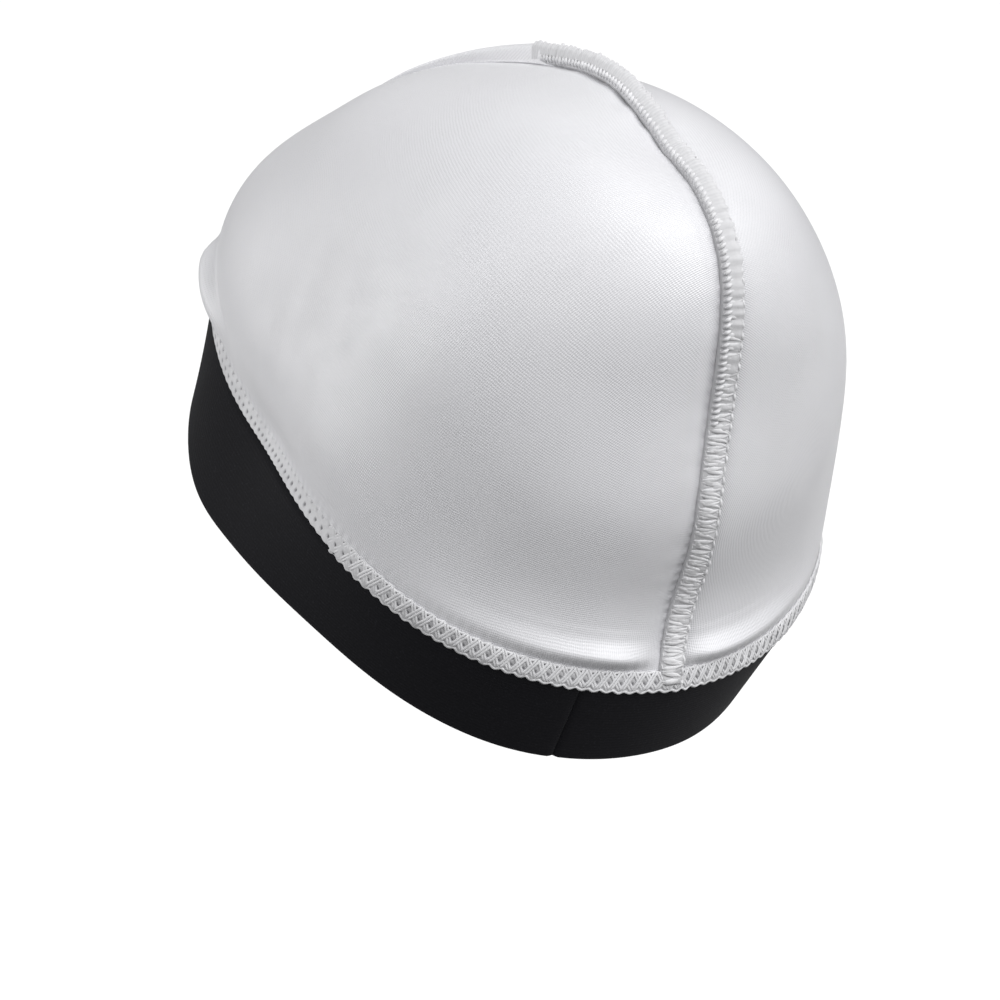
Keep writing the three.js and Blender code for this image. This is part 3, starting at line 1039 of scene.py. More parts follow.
class Guide(NamedTuple):
    """Line that stitches follow, with the directions across it and out of the cloth."""

    points: np.ndarray
    across: np.ndarray
    outward: np.ndarray
    closed: bool

    def part(self, first: int, last: int) -> "Guide":
        """Open stretch of the line between two of its points."""
        return Guide(self.points[first:last], self.across[first:last], self.outward[first:last], False)

    def length(self) -> float:
        """Length of the line, once round if it is closed."""
        return ring_lengths(self.once_round(self.points))[-1]

    def once_round(self, line: np.ndarray) -> np.ndarray:
        """The line's points or directions, with the first one again at the end if it is closed."""
        return np.concatenate([line, line[:1]]) if self.closed else line

    def rows(self, share: np.ndarray) -> list[np.ndarray]:
        """Places and directions at shares of the line's length.

        Args:
            share: Shares from 0 to 1.

        Returns:
            Points, directions across and directions out of the cloth.
        """
        run = ring_lengths(self.once_round(self.points))
        lines = [self.once_round(line).T for line in (self.points, self.across, self.outward)]
        return [np.stack([np.interp(share, run / run[-1], part) for part in line], axis=-1) for line in lines]


class Strand(NamedTuple):
    """One thread of a stitch: places along, across and out of the cloth, for one pitch."""

    places: np.ndarray
    width: Union[float, np.ndarray]
    thickness: Union[float, np.ndarray]


def strand_body(strand: Strand, sides: int) -> Body:
    """Open tube along a strand whose two ends both run straight on.

    Args:
        strand: The thread's path and its width and thickness.
        sides: Corners of its cross-section.

    Returns:
        The tube's vertices and faces.
    """
    forward = unit(np.gradient(strand.places, axis=0))
    forward[[0, -1]] = (1.0, 0.0, 0.0)
    sideways = unit(np.cross((0.0, 0.0, 1.0), forward))
    lifted = np.cross(forward, sideways)
    turn = FULL_TURN * np.arange(sides) / sides
    wide = np.broadcast_to(strand.width, len(strand.places))[:, None] / 2 * np.cos(turn)
    high = np.broadcast_to(strand.thickness, len(strand.places))[:, None] / 2 * np.sin(turn)
    rings = strand.places[:, None] + sideways[:, None] * wide[..., None] + lifted[:, None] * high[..., None]
    return skinned(rings)


class StitchTree:
    """Geometry Nodes tree that repeats one stitch along a guide line."""

    SOCKETS = (
        ("Stitch", "NodeSocketObject"),
        ("Stitches", "NodeSocketInt"),
        ("Pitch", "NodeSocketFloat"),
        ("Tightening", "NodeSocketFloat"),
        ("Unevenness", "NodeSocketFloat"),
        ("Wrap", "NodeSocketFloat"),
        ("Thread", "NodeSocketMaterial"),
    )
    UNEVEN_SCALE = 420.0
    WELD = 0.004 * MM

    def __init__(self) -> None:
        """Build the tree."""
        self.tree = bpy.data.node_groups.new("stitch_run", "GeometryNodeTree")
        interface = self.tree.interface
        interface.new_socket("Guide", in_out="INPUT", socket_type="NodeSocketGeometry")
        self.sockets = {
            name: interface.new_socket(name, in_out="INPUT", socket_type=kind) for name, kind in self.SOCKETS
        }
        interface.new_socket("Run", in_out="OUTPUT", socket_type="NodeSocketGeometry")
        self.wire()

    def wire(self) -> None:
        """Add the nodes: a straight row of stitches, laid along the guide."""
        sketch = NodeSketch(self.tree)
        given = sketch.add("NodeGroupInput").outputs
        line = sketch.add("GeometryNodeMeshToCurve", {"Mesh": given["Guide"]}).outputs["Curve"]
        step = sketch.add("ShaderNodeCombineXYZ", {"X": given["Pitch"]}).outputs[0]
        row = sketch.add("GeometryNodeMeshLine", {"Count": given["Stitches"], "Offset": step}).outputs[0]
        stitch = sketch.add("GeometryNodeObjectInfo", {"Object": given["Stitch"]}).outputs["Geometry"]
        copies = sketch.add("GeometryNodeInstanceOnPoints", {"Points": row, "Instance": stitch}).outputs[0]
        straight = sketch.add("GeometryNodeRealizeInstances", {"Geometry": copies}).outputs[0]
        place = sketch.add("GeometryNodeInputPosition").outputs[0]
        parts = sketch.parts(place)
        length = sketch.math("MULTIPLY", given["Pitch"], given["Stitches"])
        share = sketch.math("DIVIDE", parts[0], length)
        rest = sketch.math("SUBTRACT", 1.0, share)
        tightened = sketch.math("MULTIPLY", sketch.math("MULTIPLY", share, rest), given["Tightening"])
        total = sketch.math("ADD", share, tightened)
        turns = sketch.math("MULTIPLY", sketch.math("FLOOR", total), given["Wrap"])
        factor = sketch.math("SUBTRACT", total, turns)
        across = self.sampled(sketch, line, factor, "across")
        outward = self.sampled(sketch, line, factor, "outward")
        stray = {"Vector": place, "Scale": self.UNEVEN_SCALE, "Detail": 1.0}
        uneven = sketch.add("ShaderNodeTexNoise", stray)
        centred = sketch.vector("SUBTRACT", uneven.outputs["Color"], (0.5, 0.5, 0.5))
        play = sketch.parts(sketch.scaled(centred, given["Unevenness"]))
        sideways = sketch.scaled(across.outputs["Value"], sketch.math("ADD", parts[1], play[1]))
        lifted = sketch.scaled(outward.outputs["Value"], sketch.math("ADD", parts[2], play[2]))
        foot = sketch.vector("ADD", across.outputs["Position"], sideways)
        laid = sketch.add("GeometryNodeSetPosition",
                          {"Geometry": straight, "Position": sketch.vector("ADD", foot, lifted)}).outputs[0]
        close = {"Geometry": laid, "Distance": self.WELD}
        whole = sketch.add("GeometryNodeMergeByDistance", close).outputs[0]
        smooth = sketch.add("GeometryNodeSetShadeSmooth", {"Geometry": whole}).outputs[0]
        final = sketch.add("GeometryNodeRealizeInstances", {"Geometry": smooth}).outputs[0]
        dressed = sketch.add("GeometryNodeSetMaterial", {"Geometry": final, "Material": given["Thread"]})
        sketch.add("NodeGroupOutput", {"Run": dressed.outputs[0]})

    @staticmethod
    def sampled(sketch: NodeSketch, line: bpy.types.NodeSocket, factor: bpy.types.NodeSocket,
                name: str) -> bpy.types.Node:
        """Node that reads the guide's place and one of its directions at a share of its length.

        Args:
            sketch: The tree.
            line: The guide as a curve.
            factor: Share of the guide's length.
            name: The direction's name, across or outward.

        Returns:
            The node, with the outputs Value and Position.
        """
        kept = sketch.add("GeometryNodeInputNamedAttribute", {"Name": name}, data_type="FLOAT_VECTOR")
        inputs = {"Curves": line, "Value": kept.outputs["Attribute"], "Factor": factor}
        return sketch.add("GeometryNodeSampleCurve", inputs, data_type="FLOAT_VECTOR", mode="FACTOR")

    def lay(self, guide: Guide, stitch: Body, pitch: float, thread: bpy.types.Material,
            tightening: float = 0.0, unevenness: float = 0.0, count: Optional[int] = None) -> bpy.types.Mesh:
        """Repeat a stitch along a guide.

        Args:
            guide: Line and directions as worn.
            stitch: One stitch, one pitch long along X, with Y across and Z out of the cloth.
            pitch: Length of one stitch.
            thread: The stitches' finish.
            tightening: How much longer than pitch the first stitches are, and shorter the last.
            unevenness: How far threads stray.
            count: Number of stitches, or None for as many as fit.

        Returns:
            One plain mesh, whose thread ends are still open.
        """
        stitches = count or round(guide.length() / pitch)
        edges = [(i, i + 1) for i in range(len(guide.points) - 1)]
        if guide.closed:
            edges.append((len(guide.points) - 1, 0))
        mesh = bpy.data.meshes.new("guide")
        mesh.from_pydata(guide.points.tolist(), edges, [])
        holder = linked("guide", mesh)
        note_vectors(holder, "across", guide.across)
        note_vectors(holder, "outward", guide.outward)
        sample_mesh = bpy.data.meshes.new("stitch")
        sample_mesh.from_pydata(stitch.vertices.tolist(), [], stitch.faces)
        sample = linked("stitch", sample_mesh)
        modifier = holder.modifiers.new("stitch_run", "NODES")
        modifier.node_group = self.tree
        values = {"Stitch": sample, "Stitches": stitches, "Pitch": pitch, "Tightening": tightening,
                  "Unevenness": unevenness, "Wrap": float(guide.closed), "Thread": thread}
        for name, value in values.items():
            modifier[self.sockets[name].identifier] = value
        bpy.context.view_layer.update()
        evaluated = holder.evaluated_get(bpy.context.evaluated_depsgraph_get())
        run = bpy.data.meshes.new_from_object(evaluated)
        holder.modifiers.remove(modifier)
        for scratch in (holder, sample):
            bpy.data.objects.remove(scratch)
        return run


def gathered(name: str, runs: Sequence[bpy.types.Mesh], thread: bpy.types.Material) -> bpy.types.Object:
    """One piece from several runs of stitches, its open thread ends closed.

    Args:
        name: The piece's name.
        runs: Plain meshes as worn.
        thread: The piece's finish.

    Returns:
        The object, linked to the scene.
    """
    work = bmesh.new()
    for run in runs:
        work.from_mesh(run)
        bpy.data.meshes.remove(run)
    loose = [edge for edge in work.edges if edge.is_boundary]
    bmesh.ops.holes_fill(work, edges=loose, sides=0)
    bmesh.ops.recalc_face_normals(work, faces=work.faces)
    return finished(name, work, thread)


def ring_angles(count: int, crowding: float) -> np.ndarray:
    """Angles round the head, closer together at the nape."""
    turn = FULL_TURN * np.arange(count) / count
    return turn + crowding * np.sin(turn)


@dataclass
class Crown:
    """The satin dome, one thin shell with its rolls, valley and small puckers."""

    shape: CapShape
    finish: bpy.types.Material
    wall: float = 0.6 * MM
    edge_share: float = 0.3
    stations: int = 480
    crowding: float = 0.42
    outer_levels: int = 130
    inner_levels: int = 34
    low_crowding: float = 0.6
    drape_height: float = 0.22 * MM
    drape_start: float = 0.2
    fine_share: float = 0.5
    pull_height: float = 0.16 * MM
    pull_pitch: float = 8.5 * MM
    pull_reach: float = 11 * MM
    pull_start: float = 0.1
    pull_full: float = 0.3
    pull_fade: float = 0.08
    pull_over: float = 0.03
    pull_swing: float = 1.3
    pull_swing_rate: float = 0.23
    pull_slant: float = 40.0
    pull_rest: float = 0.5
    pull_top: float = 1.1
    pull_top_place: float = 1.12
    pull_top_reach: float = 0.16
    run_share: float = 1.25
    crest_height: float = 1.3 * MM
    crest_place: float = 7.6 * MM
    crest_half_width: float = 2.6 * MM
    drop_depth: float = 1.9 * MM
    drop_place: float = 12.0 * MM
    drop_half_width: float = 3.3 * MM
    grain_radius: float = 95 * MM
    grain_middle: float = 22 * MM
    seam_length: float = 148 * MM
    far_away: float = 20 * MM
    end_fade: float = 0.02
    start_blank: float = 0.03

    def build(self) -> list[bpy.types.Object]:
        """Make the shell and dress it.

        Returns:
            The one piece.
        """
        angle = ring_angles(self.stations, self.crowding)
        rows = np.stack([self.layer(angle, share, depth) for share, depth in self.levels()])
        body = skinned(self.shape.place(rows), cap_ends=True)
        poles = self.shape.place(self.shape.satin(np.full(2, BACK_MIDDLE), np.ones(2)))
        poles[0] -= self.shape.turn(np.array((0.0, 0.0, self.wall)))
        body.vertices[-2:] = poles
        piece = make_piece("satin_crown", body, self.finish)
        note_grain(piece, self.grain(body.vertices))
        self.note_places(piece, angle)
        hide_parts("crown")
        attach(piece, "root")
        return [piece]

    def levels(self) -> list[tuple[float, float]]:
        """Share of the way up and depth of each ring: down the inside, then up the outside."""
        inner = [(level / self.inner_levels, self.wall) for level in range(self.inner_levels)]
        return inner[::-1] + [(level / self.outer_levels, 0.0) for level in range(self.outer_levels)]

    def climb(self, angle: np.ndarray, share: float) -> np.ndarray:
        """Climb of a level at each angle, from the satin's edge under the stitching to the pole.

        Args:
            angle: Angles round the head.
            share: Share of the way up, 0 at the satin's edge.

        Returns:
            The climb at each angle.
        """
        edge = self.edge_share * self.shape.ribbon_width / self.shape.per_climb(angle)
        crowded = share * (1 - self.low_crowding + self.low_crowding * share)
        return edge + (1 - edge) * crowded

    def layer(self, angle: np.ndarray, share: float, depth: float) -> np.ndarray:
        """Ring of points of one level at a depth below the satin's outside.

        Args:
            angle: Angles round the head.
            share: Share of the way up.
            depth: Depth below the outside.

        Returns:
            Points on the hem plane's axes.
        """
        climb = self.climb(angle, share)
        point = self.shape.dome(angle, climb)
        outward = self.shape.outward(self.shape.dome, angle, climb, self.shape.climb_step)
        relief = self.shape.relief(angle, climb, point) + self.small_relief(angle, climb, point)
        return point + outward * (relief - depth)[:, None]

    def small_relief(self, angle: np.ndarray, climb: np.ndarray, point: np.ndarray) -> np.ndarray:
        """Slow drape of the stretched cloth, the gathers beside the seam and the nape's sharper rolls.

        Args:
            angle: Angles round the head.
            climb: Climbs, of the same shape.
            point: Points of the smooth dome.

        Returns:
            Heights above the main form.
        """
        free = smooth_step(climb, 0.0, self.drape_start)
        drape = BROAD_WAVE.at(point) * CROSSING_WAVE.at(point) + self.fine_share * FINE_WAVE.at(point)
        pulls = self.seam_pulls(self.shape.seam_run(angle, climb), point[..., 0])
        return self.drape_height * free * drape + pulls + self.nape_gather(angle, climb, point[..., 0])

    def seam_pulls(self, seam_run: np.ndarray, across_seam: np.ndarray) -> np.ndarray:
        """Small gathers that the seam pulls into the cloth, strongest near the crown's top.

        Args:
            seam_run: Climbs counted from the nape over the pole.
            across_seam: Distances from the seam's plane.

        Returns:
            Heights above the main form.
        """
        near = hump(across_seam / self.pull_reach) * smooth_step(seam_run, self.pull_start, self.pull_full)
        end = self.shape.seam_end
        before_end = smooth_step(seam_run, end + self.pull_over, end - self.pull_fade)
        phase = FULL_TURN * (seam_run * self.shape.dome_height * self.run_share) / self.pull_pitch
        swing = self.pull_swing * np.sin(phase * self.pull_swing_rate)
        pull = np.sin(phase + swing + self.pull_slant * np.abs(across_seam)) * near * before_end
        top = self.pull_rest + self.pull_top * hump((seam_run - self.pull_top_place) / self.pull_top_reach)
        return self.pull_height * top * pull

    def nape_gather(self, angle: np.ndarray, climb: np.ndarray, across_seam: np.ndarray) -> np.ndarray:
        """Change of the nape rolls that brings their crest close to the stitching.

        Args:
            angle: Angles round the head.
            climb: Climbs, of the same shape.
            across_seam: Distances from the seam's plane.

        Returns:
            Heights above the main form.
        """
        height = climb * self.shape.per_climb(angle)
        rolls = self.shape.low_value("roll", angle) * (1 - hump(across_seam / self.shape.roll_pinch))
        crest = self.crest_height * hump((height - self.crest_place) / self.crest_half_width)
        drop = self.drop_depth * hump((height - self.drop_place) / self.drop_half_width)
        return np.where(np.cos(angle) < 0, rolls * (crest - drop), 0.0)

    def grain(self, placed: np.ndarray) -> np.ndarray:
        """Flat place of each point on its side's cut cloth, in metres from the ear.

        Args:
            placed: Points as worn.

        Returns:
            Flat places, shape (points, 2).
        """
        centred = placed - (0.0, self.grain_middle, 0.0)
        across = np.abs(centred[:, 0])
        radial = np.linalg.norm(centred[:, 1:], axis=1)
        away = self.grain_radius * np.arctan2(radial, across)
        return centred[:, 1:] / np.maximum(radial, TINY)[:, None] * away[:, None]

    def note_places(self, piece: bpy.types.Object, angle: np.ndarray) -> None:
        """Keep each point's place by the seam and by the hem, for the finish.

        Args:
            piece: The dome.
            angle: Angles of its rings' points.
        """
        shape = self.shape
        climb = np.stack([self.climb(angle, share) for share, _ in self.levels()])
        ring = np.broadcast_to(angle, climb.shape)
        zero = np.zeros_like(climb)
        seam_run = shape.seam_run(ring, climb)
        past_end = smooth_step(seam_run, shape.seam_end - self.end_fade, shape.seam_end + self.end_fade)
        across = np.abs(shape.dome(ring, climb)[..., 0]) + self.far_away * past_end
        seam = np.stack([across, seam_run * self.seam_length, zero], axis=-1)
        hem_line = shape.skin(angle, np.zeros(len(angle)))
        run = ring_lengths(np.concatenate([hem_line, hem_line[:1]]))
        along = run[:-1] / run[-1] * round(run[-1] / HEM_PITCH) * HEM_PITCH
        at_start = np.minimum(angle, FULL_TURN - angle) < self.start_blank
        height = np.where(at_start, self.far_away, climb * shape.per_climb(ring))
        hem = np.stack([np.broadcast_to(along, height.shape), height, zero], axis=-1)
        poles = np.array([(self.far_away, self.seam_length, 0.0)] * 2)
        note_vectors(piece, "seam_place", np.concatenate([seam.reshape(-1, 3), poles]))
        note_vectors(piece, "hem_place", np.concatenate([hem.reshape(-1, 3), poles]))


def leaning(sideways: np.ndarray, out: np.ndarray, upright: np.ndarray) -> tuple[np.ndarray, np.ndarray]:
    """Directions of a strip of cloth that stands on a line and leans to the wearer's right.

    Args:
        sideways: Directions to the wearer's left, across the line.
        out: Directions out of the cloth below.
        upright: 0 where the strip lies flat and 1 where it stands.

    Returns:
        Directions up the strip, and through it.
    """
    lean = (upright * math.pi / 2)[:, None]
    across = -sideways * np.cos(lean) + out * np.sin(lean)
    return across, sideways * np.sin(lean) + out * np.cos(lean)


@dataclass(frozen=True)
class AllowanceSection:
    """Cross-section of the seam's folded cloth, in shares of its width and its thickness."""

    corners: int = 24
    squareness: float = 0.45
    side_squareness: float = 0.7
    end_width: float = 0.55
    end_thickness: float = 0.1
    crease_depth: float = 0.3
    crease_place: float = 0.86
    crease_reach: float = 0.3
    heel_thickness: float = 0.45
    heel_reach: float = 0.22
    thinning: float = 0.4
    thin_from: float = 0.65
    thin_full: float = 0.95
    swelling: float = 0.45
    swell_place: float = 0.72
    swell_reach: float = 0.34
    foot_reach: float = 0.3

    def turn(self) -> np.ndarray:
        """Angle of each corner."""
        return FULL_TURN * (np.arange(self.corners) + 0.5) / self.corners

    def reach(self) -> np.ndarray:
        """Share of the width that each corner reaches, from 0 at the needle line."""
        return 0.5 + 0.5 * rounded(np.cos(self.turn()), self.squareness)

    def foot(self) -> np.ndarray:
        """How far each corner belongs to the foot, which goes down into the satin."""
        return smooth_step(self.reach(), self.foot_reach, 0.0) * (np.sin(self.turn()) < 0)

    def half_height(self, high_up: np.ndarray) -> np.ndarray:
        """Height of each corner from the middle, as a share of half the thickness.

        Args:
            high_up: 0 on the lower and 1 on the upper part of the seam, a value for each row.

        Returns:
            Heights, shape (rows, corners).
        """
        reach = self.reach()
        crease = 1 - self.crease_depth * hump((2 * reach - 1 - self.crease_place) / self.crease_reach)
        heel = self.heel_thickness + (1 - self.heel_thickness) * smooth_step(reach, 0.0, self.heel_reach)
        thin = 1 - self.thinning * (1 - high_up[:, None]) * smooth_step(reach, self.thin_from, self.thin_full)
        swell = 1 + self.swelling * high_up[:, None] * hump((reach - self.swell_place) / self.swell_reach)
        return rounded(np.sin(self.turn()), self.side_squareness) * crease * heel * swell * thin


@dataclass(frozen=True)
class CageThreads:
    """Overlock threads of one stitch, in shares of the seam's pitch, width, thickness and thread."""

    looper_steps: int = 13
    needle_steps: int = 9
    over_place: float = 0.9
    under_place: float = 0.1
    start_reach: float = 0.03
    looper_reach: float = 0.95
    slant: float = 0.105
    edge_sink: float = 0.42
    edge_reach: float = 0.28
    over_sink: float = 0.4
    under_sink: float = 0.2
    foot_reach: float = 0.2
    chain_place: float = 0.985
    chain_swing: float = 0.03
    chain_middle: float = 0.5
    chain_lift: float = 0.16
    needle_place: float = 0.045
    needle_swing: float = 0.12 * MM
    needle_low: float = 0.3
    needle_lift: float = 0.32
    plump_far: float = 0.92
    plump_full: float = 0.5
    plump_near: float = 0.25
    over_widths: tuple[float, float] = (1.5, 2.1)
    over_heights: tuple[float, float] = (1.0, 0.3)
    under_width: float = 1.6
    chain_size: tuple[float, float] = (1.9, 1.3)
    needle_size: tuple[float, float] = (1.1, 0.8)
    sides: int = 6

    def bodies(self, pitch: float, width: float, thickness: float, tube: float) -> list[Body]:
        """Looper threads over and under the allowance, the edge chain and the needle stitches.

        Args:
            pitch: Length of one stitch.
            width: Width of the seam's allowance.
            thickness: Its thickness.
            tube: Thickness of the thread.

        Returns:
            One body for each of the four threads.
        """
        t = np.linspace(0, 1, self.looper_steps)
        reach = self.start_reach + self.looper_reach * eased(2 * t)
        along = pitch * (t - self.slant * np.sin(FULL_TURN * t))
        edge = self.edge_sink * hump((t - 0.5) / self.edge_reach)
        foot = smooth_step(reach, self.foot_reach, 0.0)
        over_out = thickness * self.over_place - thickness * (edge + self.over_sink * foot)
        under_out = thickness * self.under_place + thickness * (edge + self.under_sink * foot)
        over = np.stack([along, width * reach, over_out], axis=-1)
        under = np.stack([along, width * reach, under_out], axis=-1)
        swing = np.cos(FULL_TURN * t)
        chain_across = width * (self.chain_place + self.chain_swing * swing)
        chain_out = thickness * (self.chain_middle + self.chain_lift * swing)
        chain = np.stack([pitch * t, chain_across, chain_out], axis=-1)
        s = np.linspace(0, 1, self.needle_steps)
        needle_across = width * self.needle_place + self.needle_swing * np.sin(FULL_TURN * s)
        needle_out = thickness * (self.needle_low + self.needle_lift * eased(2 * s))
        needle = np.stack([pitch * s, needle_across, needle_out], axis=-1)
        plump = smooth_step(reach, self.plump_far, self.plump_full) * smooth_step(reach, 0.0, self.plump_near)
        over_size = [tube * (plain + more * plump) for plain, more in (self.over_widths, self.over_heights)]
        strands = (
            Strand(over, *over_size),
            Strand(under, tube * self.under_width, tube),
            Strand(chain, *(tube * share for share in self.chain_size)),
            Strand(needle, *(tube * share for share in self.needle_size)),
        )
        return [strand_body(strand, self.sides) for strand in strands]


@dataclass(frozen=True)
class BeadThread:
    """Plump slanting grain of thread beside the needle line, where the seam is drawn tight."""

    steps: int = 7
    sides: int = 6
    slant: float = 0.8
    foot_place: float = 0.02
    reach: float = 0.38
    low: float = 0.55
    rise: float = 0.3
    arch: float = 0.4
    end_size: float = 0.5
    widening: float = 2.5
    thickening: float = 1.9

    def body(self, pitch: float, width: float, thickness: float, tube: float) -> Body:
        """The grain's body.

        Args:
            pitch: Distance from one grain to the next.
            width: Width of the seam's allowance.
            thickness: Its thickness.
            tube: Thickness of the thread.

        Returns:
            Vertices and faces.
        """
        t = np.linspace(0, 1, self.steps)
        swell = np.sin(math.pi * t)
        places = np.stack([
            pitch * (0.5 + self.slant * (t - 0.5)),
            width * (self.foot_place + self.reach * t),
            thickness * (self.low + self.rise * t + self.arch * swell),
        ], axis=-1)
        wide = tube * (self.end_size + self.widening * swell)
        high = tube * (self.end_size + self.thickening * swell)
        return strand_body(Strand(places, wide, high), self.sides)


@dataclass(frozen=True)
class CrownFold:
    """Standing fold of satin that the back seam runs out into, until it dies away over the front."""

    height: float = 5.2 * MM
    thickness: float = 1.4 * MM
    root: float = 0.25 * MM
    lead: float = 0.16
    full_before: float = 0.3
    start_height: float = 0.4
    start_thickness: float = 0.3
    sections: int = 160
    corners: int = 36
    squareness: float = 0.6
    side_squareness: float = 0.7
    waist: float = 0.72
    waist_low: float = 0.1
    waist_high: float = 0.75
    heel: float = 0.5
    heel_reach: float = 0.16

    def piece(self, shape: CapShape, cloth: bpy.types.Material) -> bpy.types.Object:
        """Make the fold, from inside the seam's end forward.

        Args:
            shape: The cap's form.
            cloth: The satin's finish.

        Returns:
            The dressed piece.
        """
        row = np.linspace(-self.lead, 1, self.sections)
        line = shape.fold_line(row)
        forward = unit(np.gradient(line, axis=0))
        out = unit(np.cross(forward, (1.0, 0.0, 0.0)))
        across, through = leaning(np.cross(out, forward), out, shape.fold_curve["upright"](row))
        inside = smooth_step(row, -self.lead, -self.full_before * self.lead)
        tall = self.height * shape.fold_curve["height"](row)
        tall = tall * (self.start_height + (1 - self.start_height) * inside)
        thick = np.minimum(self.thickness, tall)
        thick = thick * (self.start_thickness + (1 - self.start_thickness) * inside)
        turn = FULL_TURN * (np.arange(self.corners) + 0.5) / self.corners
        up = 0.5 + 0.5 * rounded(np.cos(turn), self.squareness)
        waist = self.waist + (1 - self.waist) * smooth_step(up, self.waist_low, self.waist_high)
        waist = waist + self.heel * smooth_step(up, self.heel_reach, 0.0)
        wide = 0.5 + 0.5 * rounded(np.sin(turn), self.side_squareness) * waist
        high = (tall[:, None] + self.root) * up - self.root
        rings = line[:, None] + across[:, None] * high[..., None]
        rings = rings + through[:, None] * (thick[:, None] * wide)[..., None]
        piece = make_piece("crown_fold", skinned(shape.place(rings), cap_ends=True), cloth)
        flat = np.stack([np.repeat(ring_lengths(line), self.corners), high.ravel()], axis=-1)
        note_grain(piece, np.concatenate([flat, np.zeros((2, 2))]))
        return piece


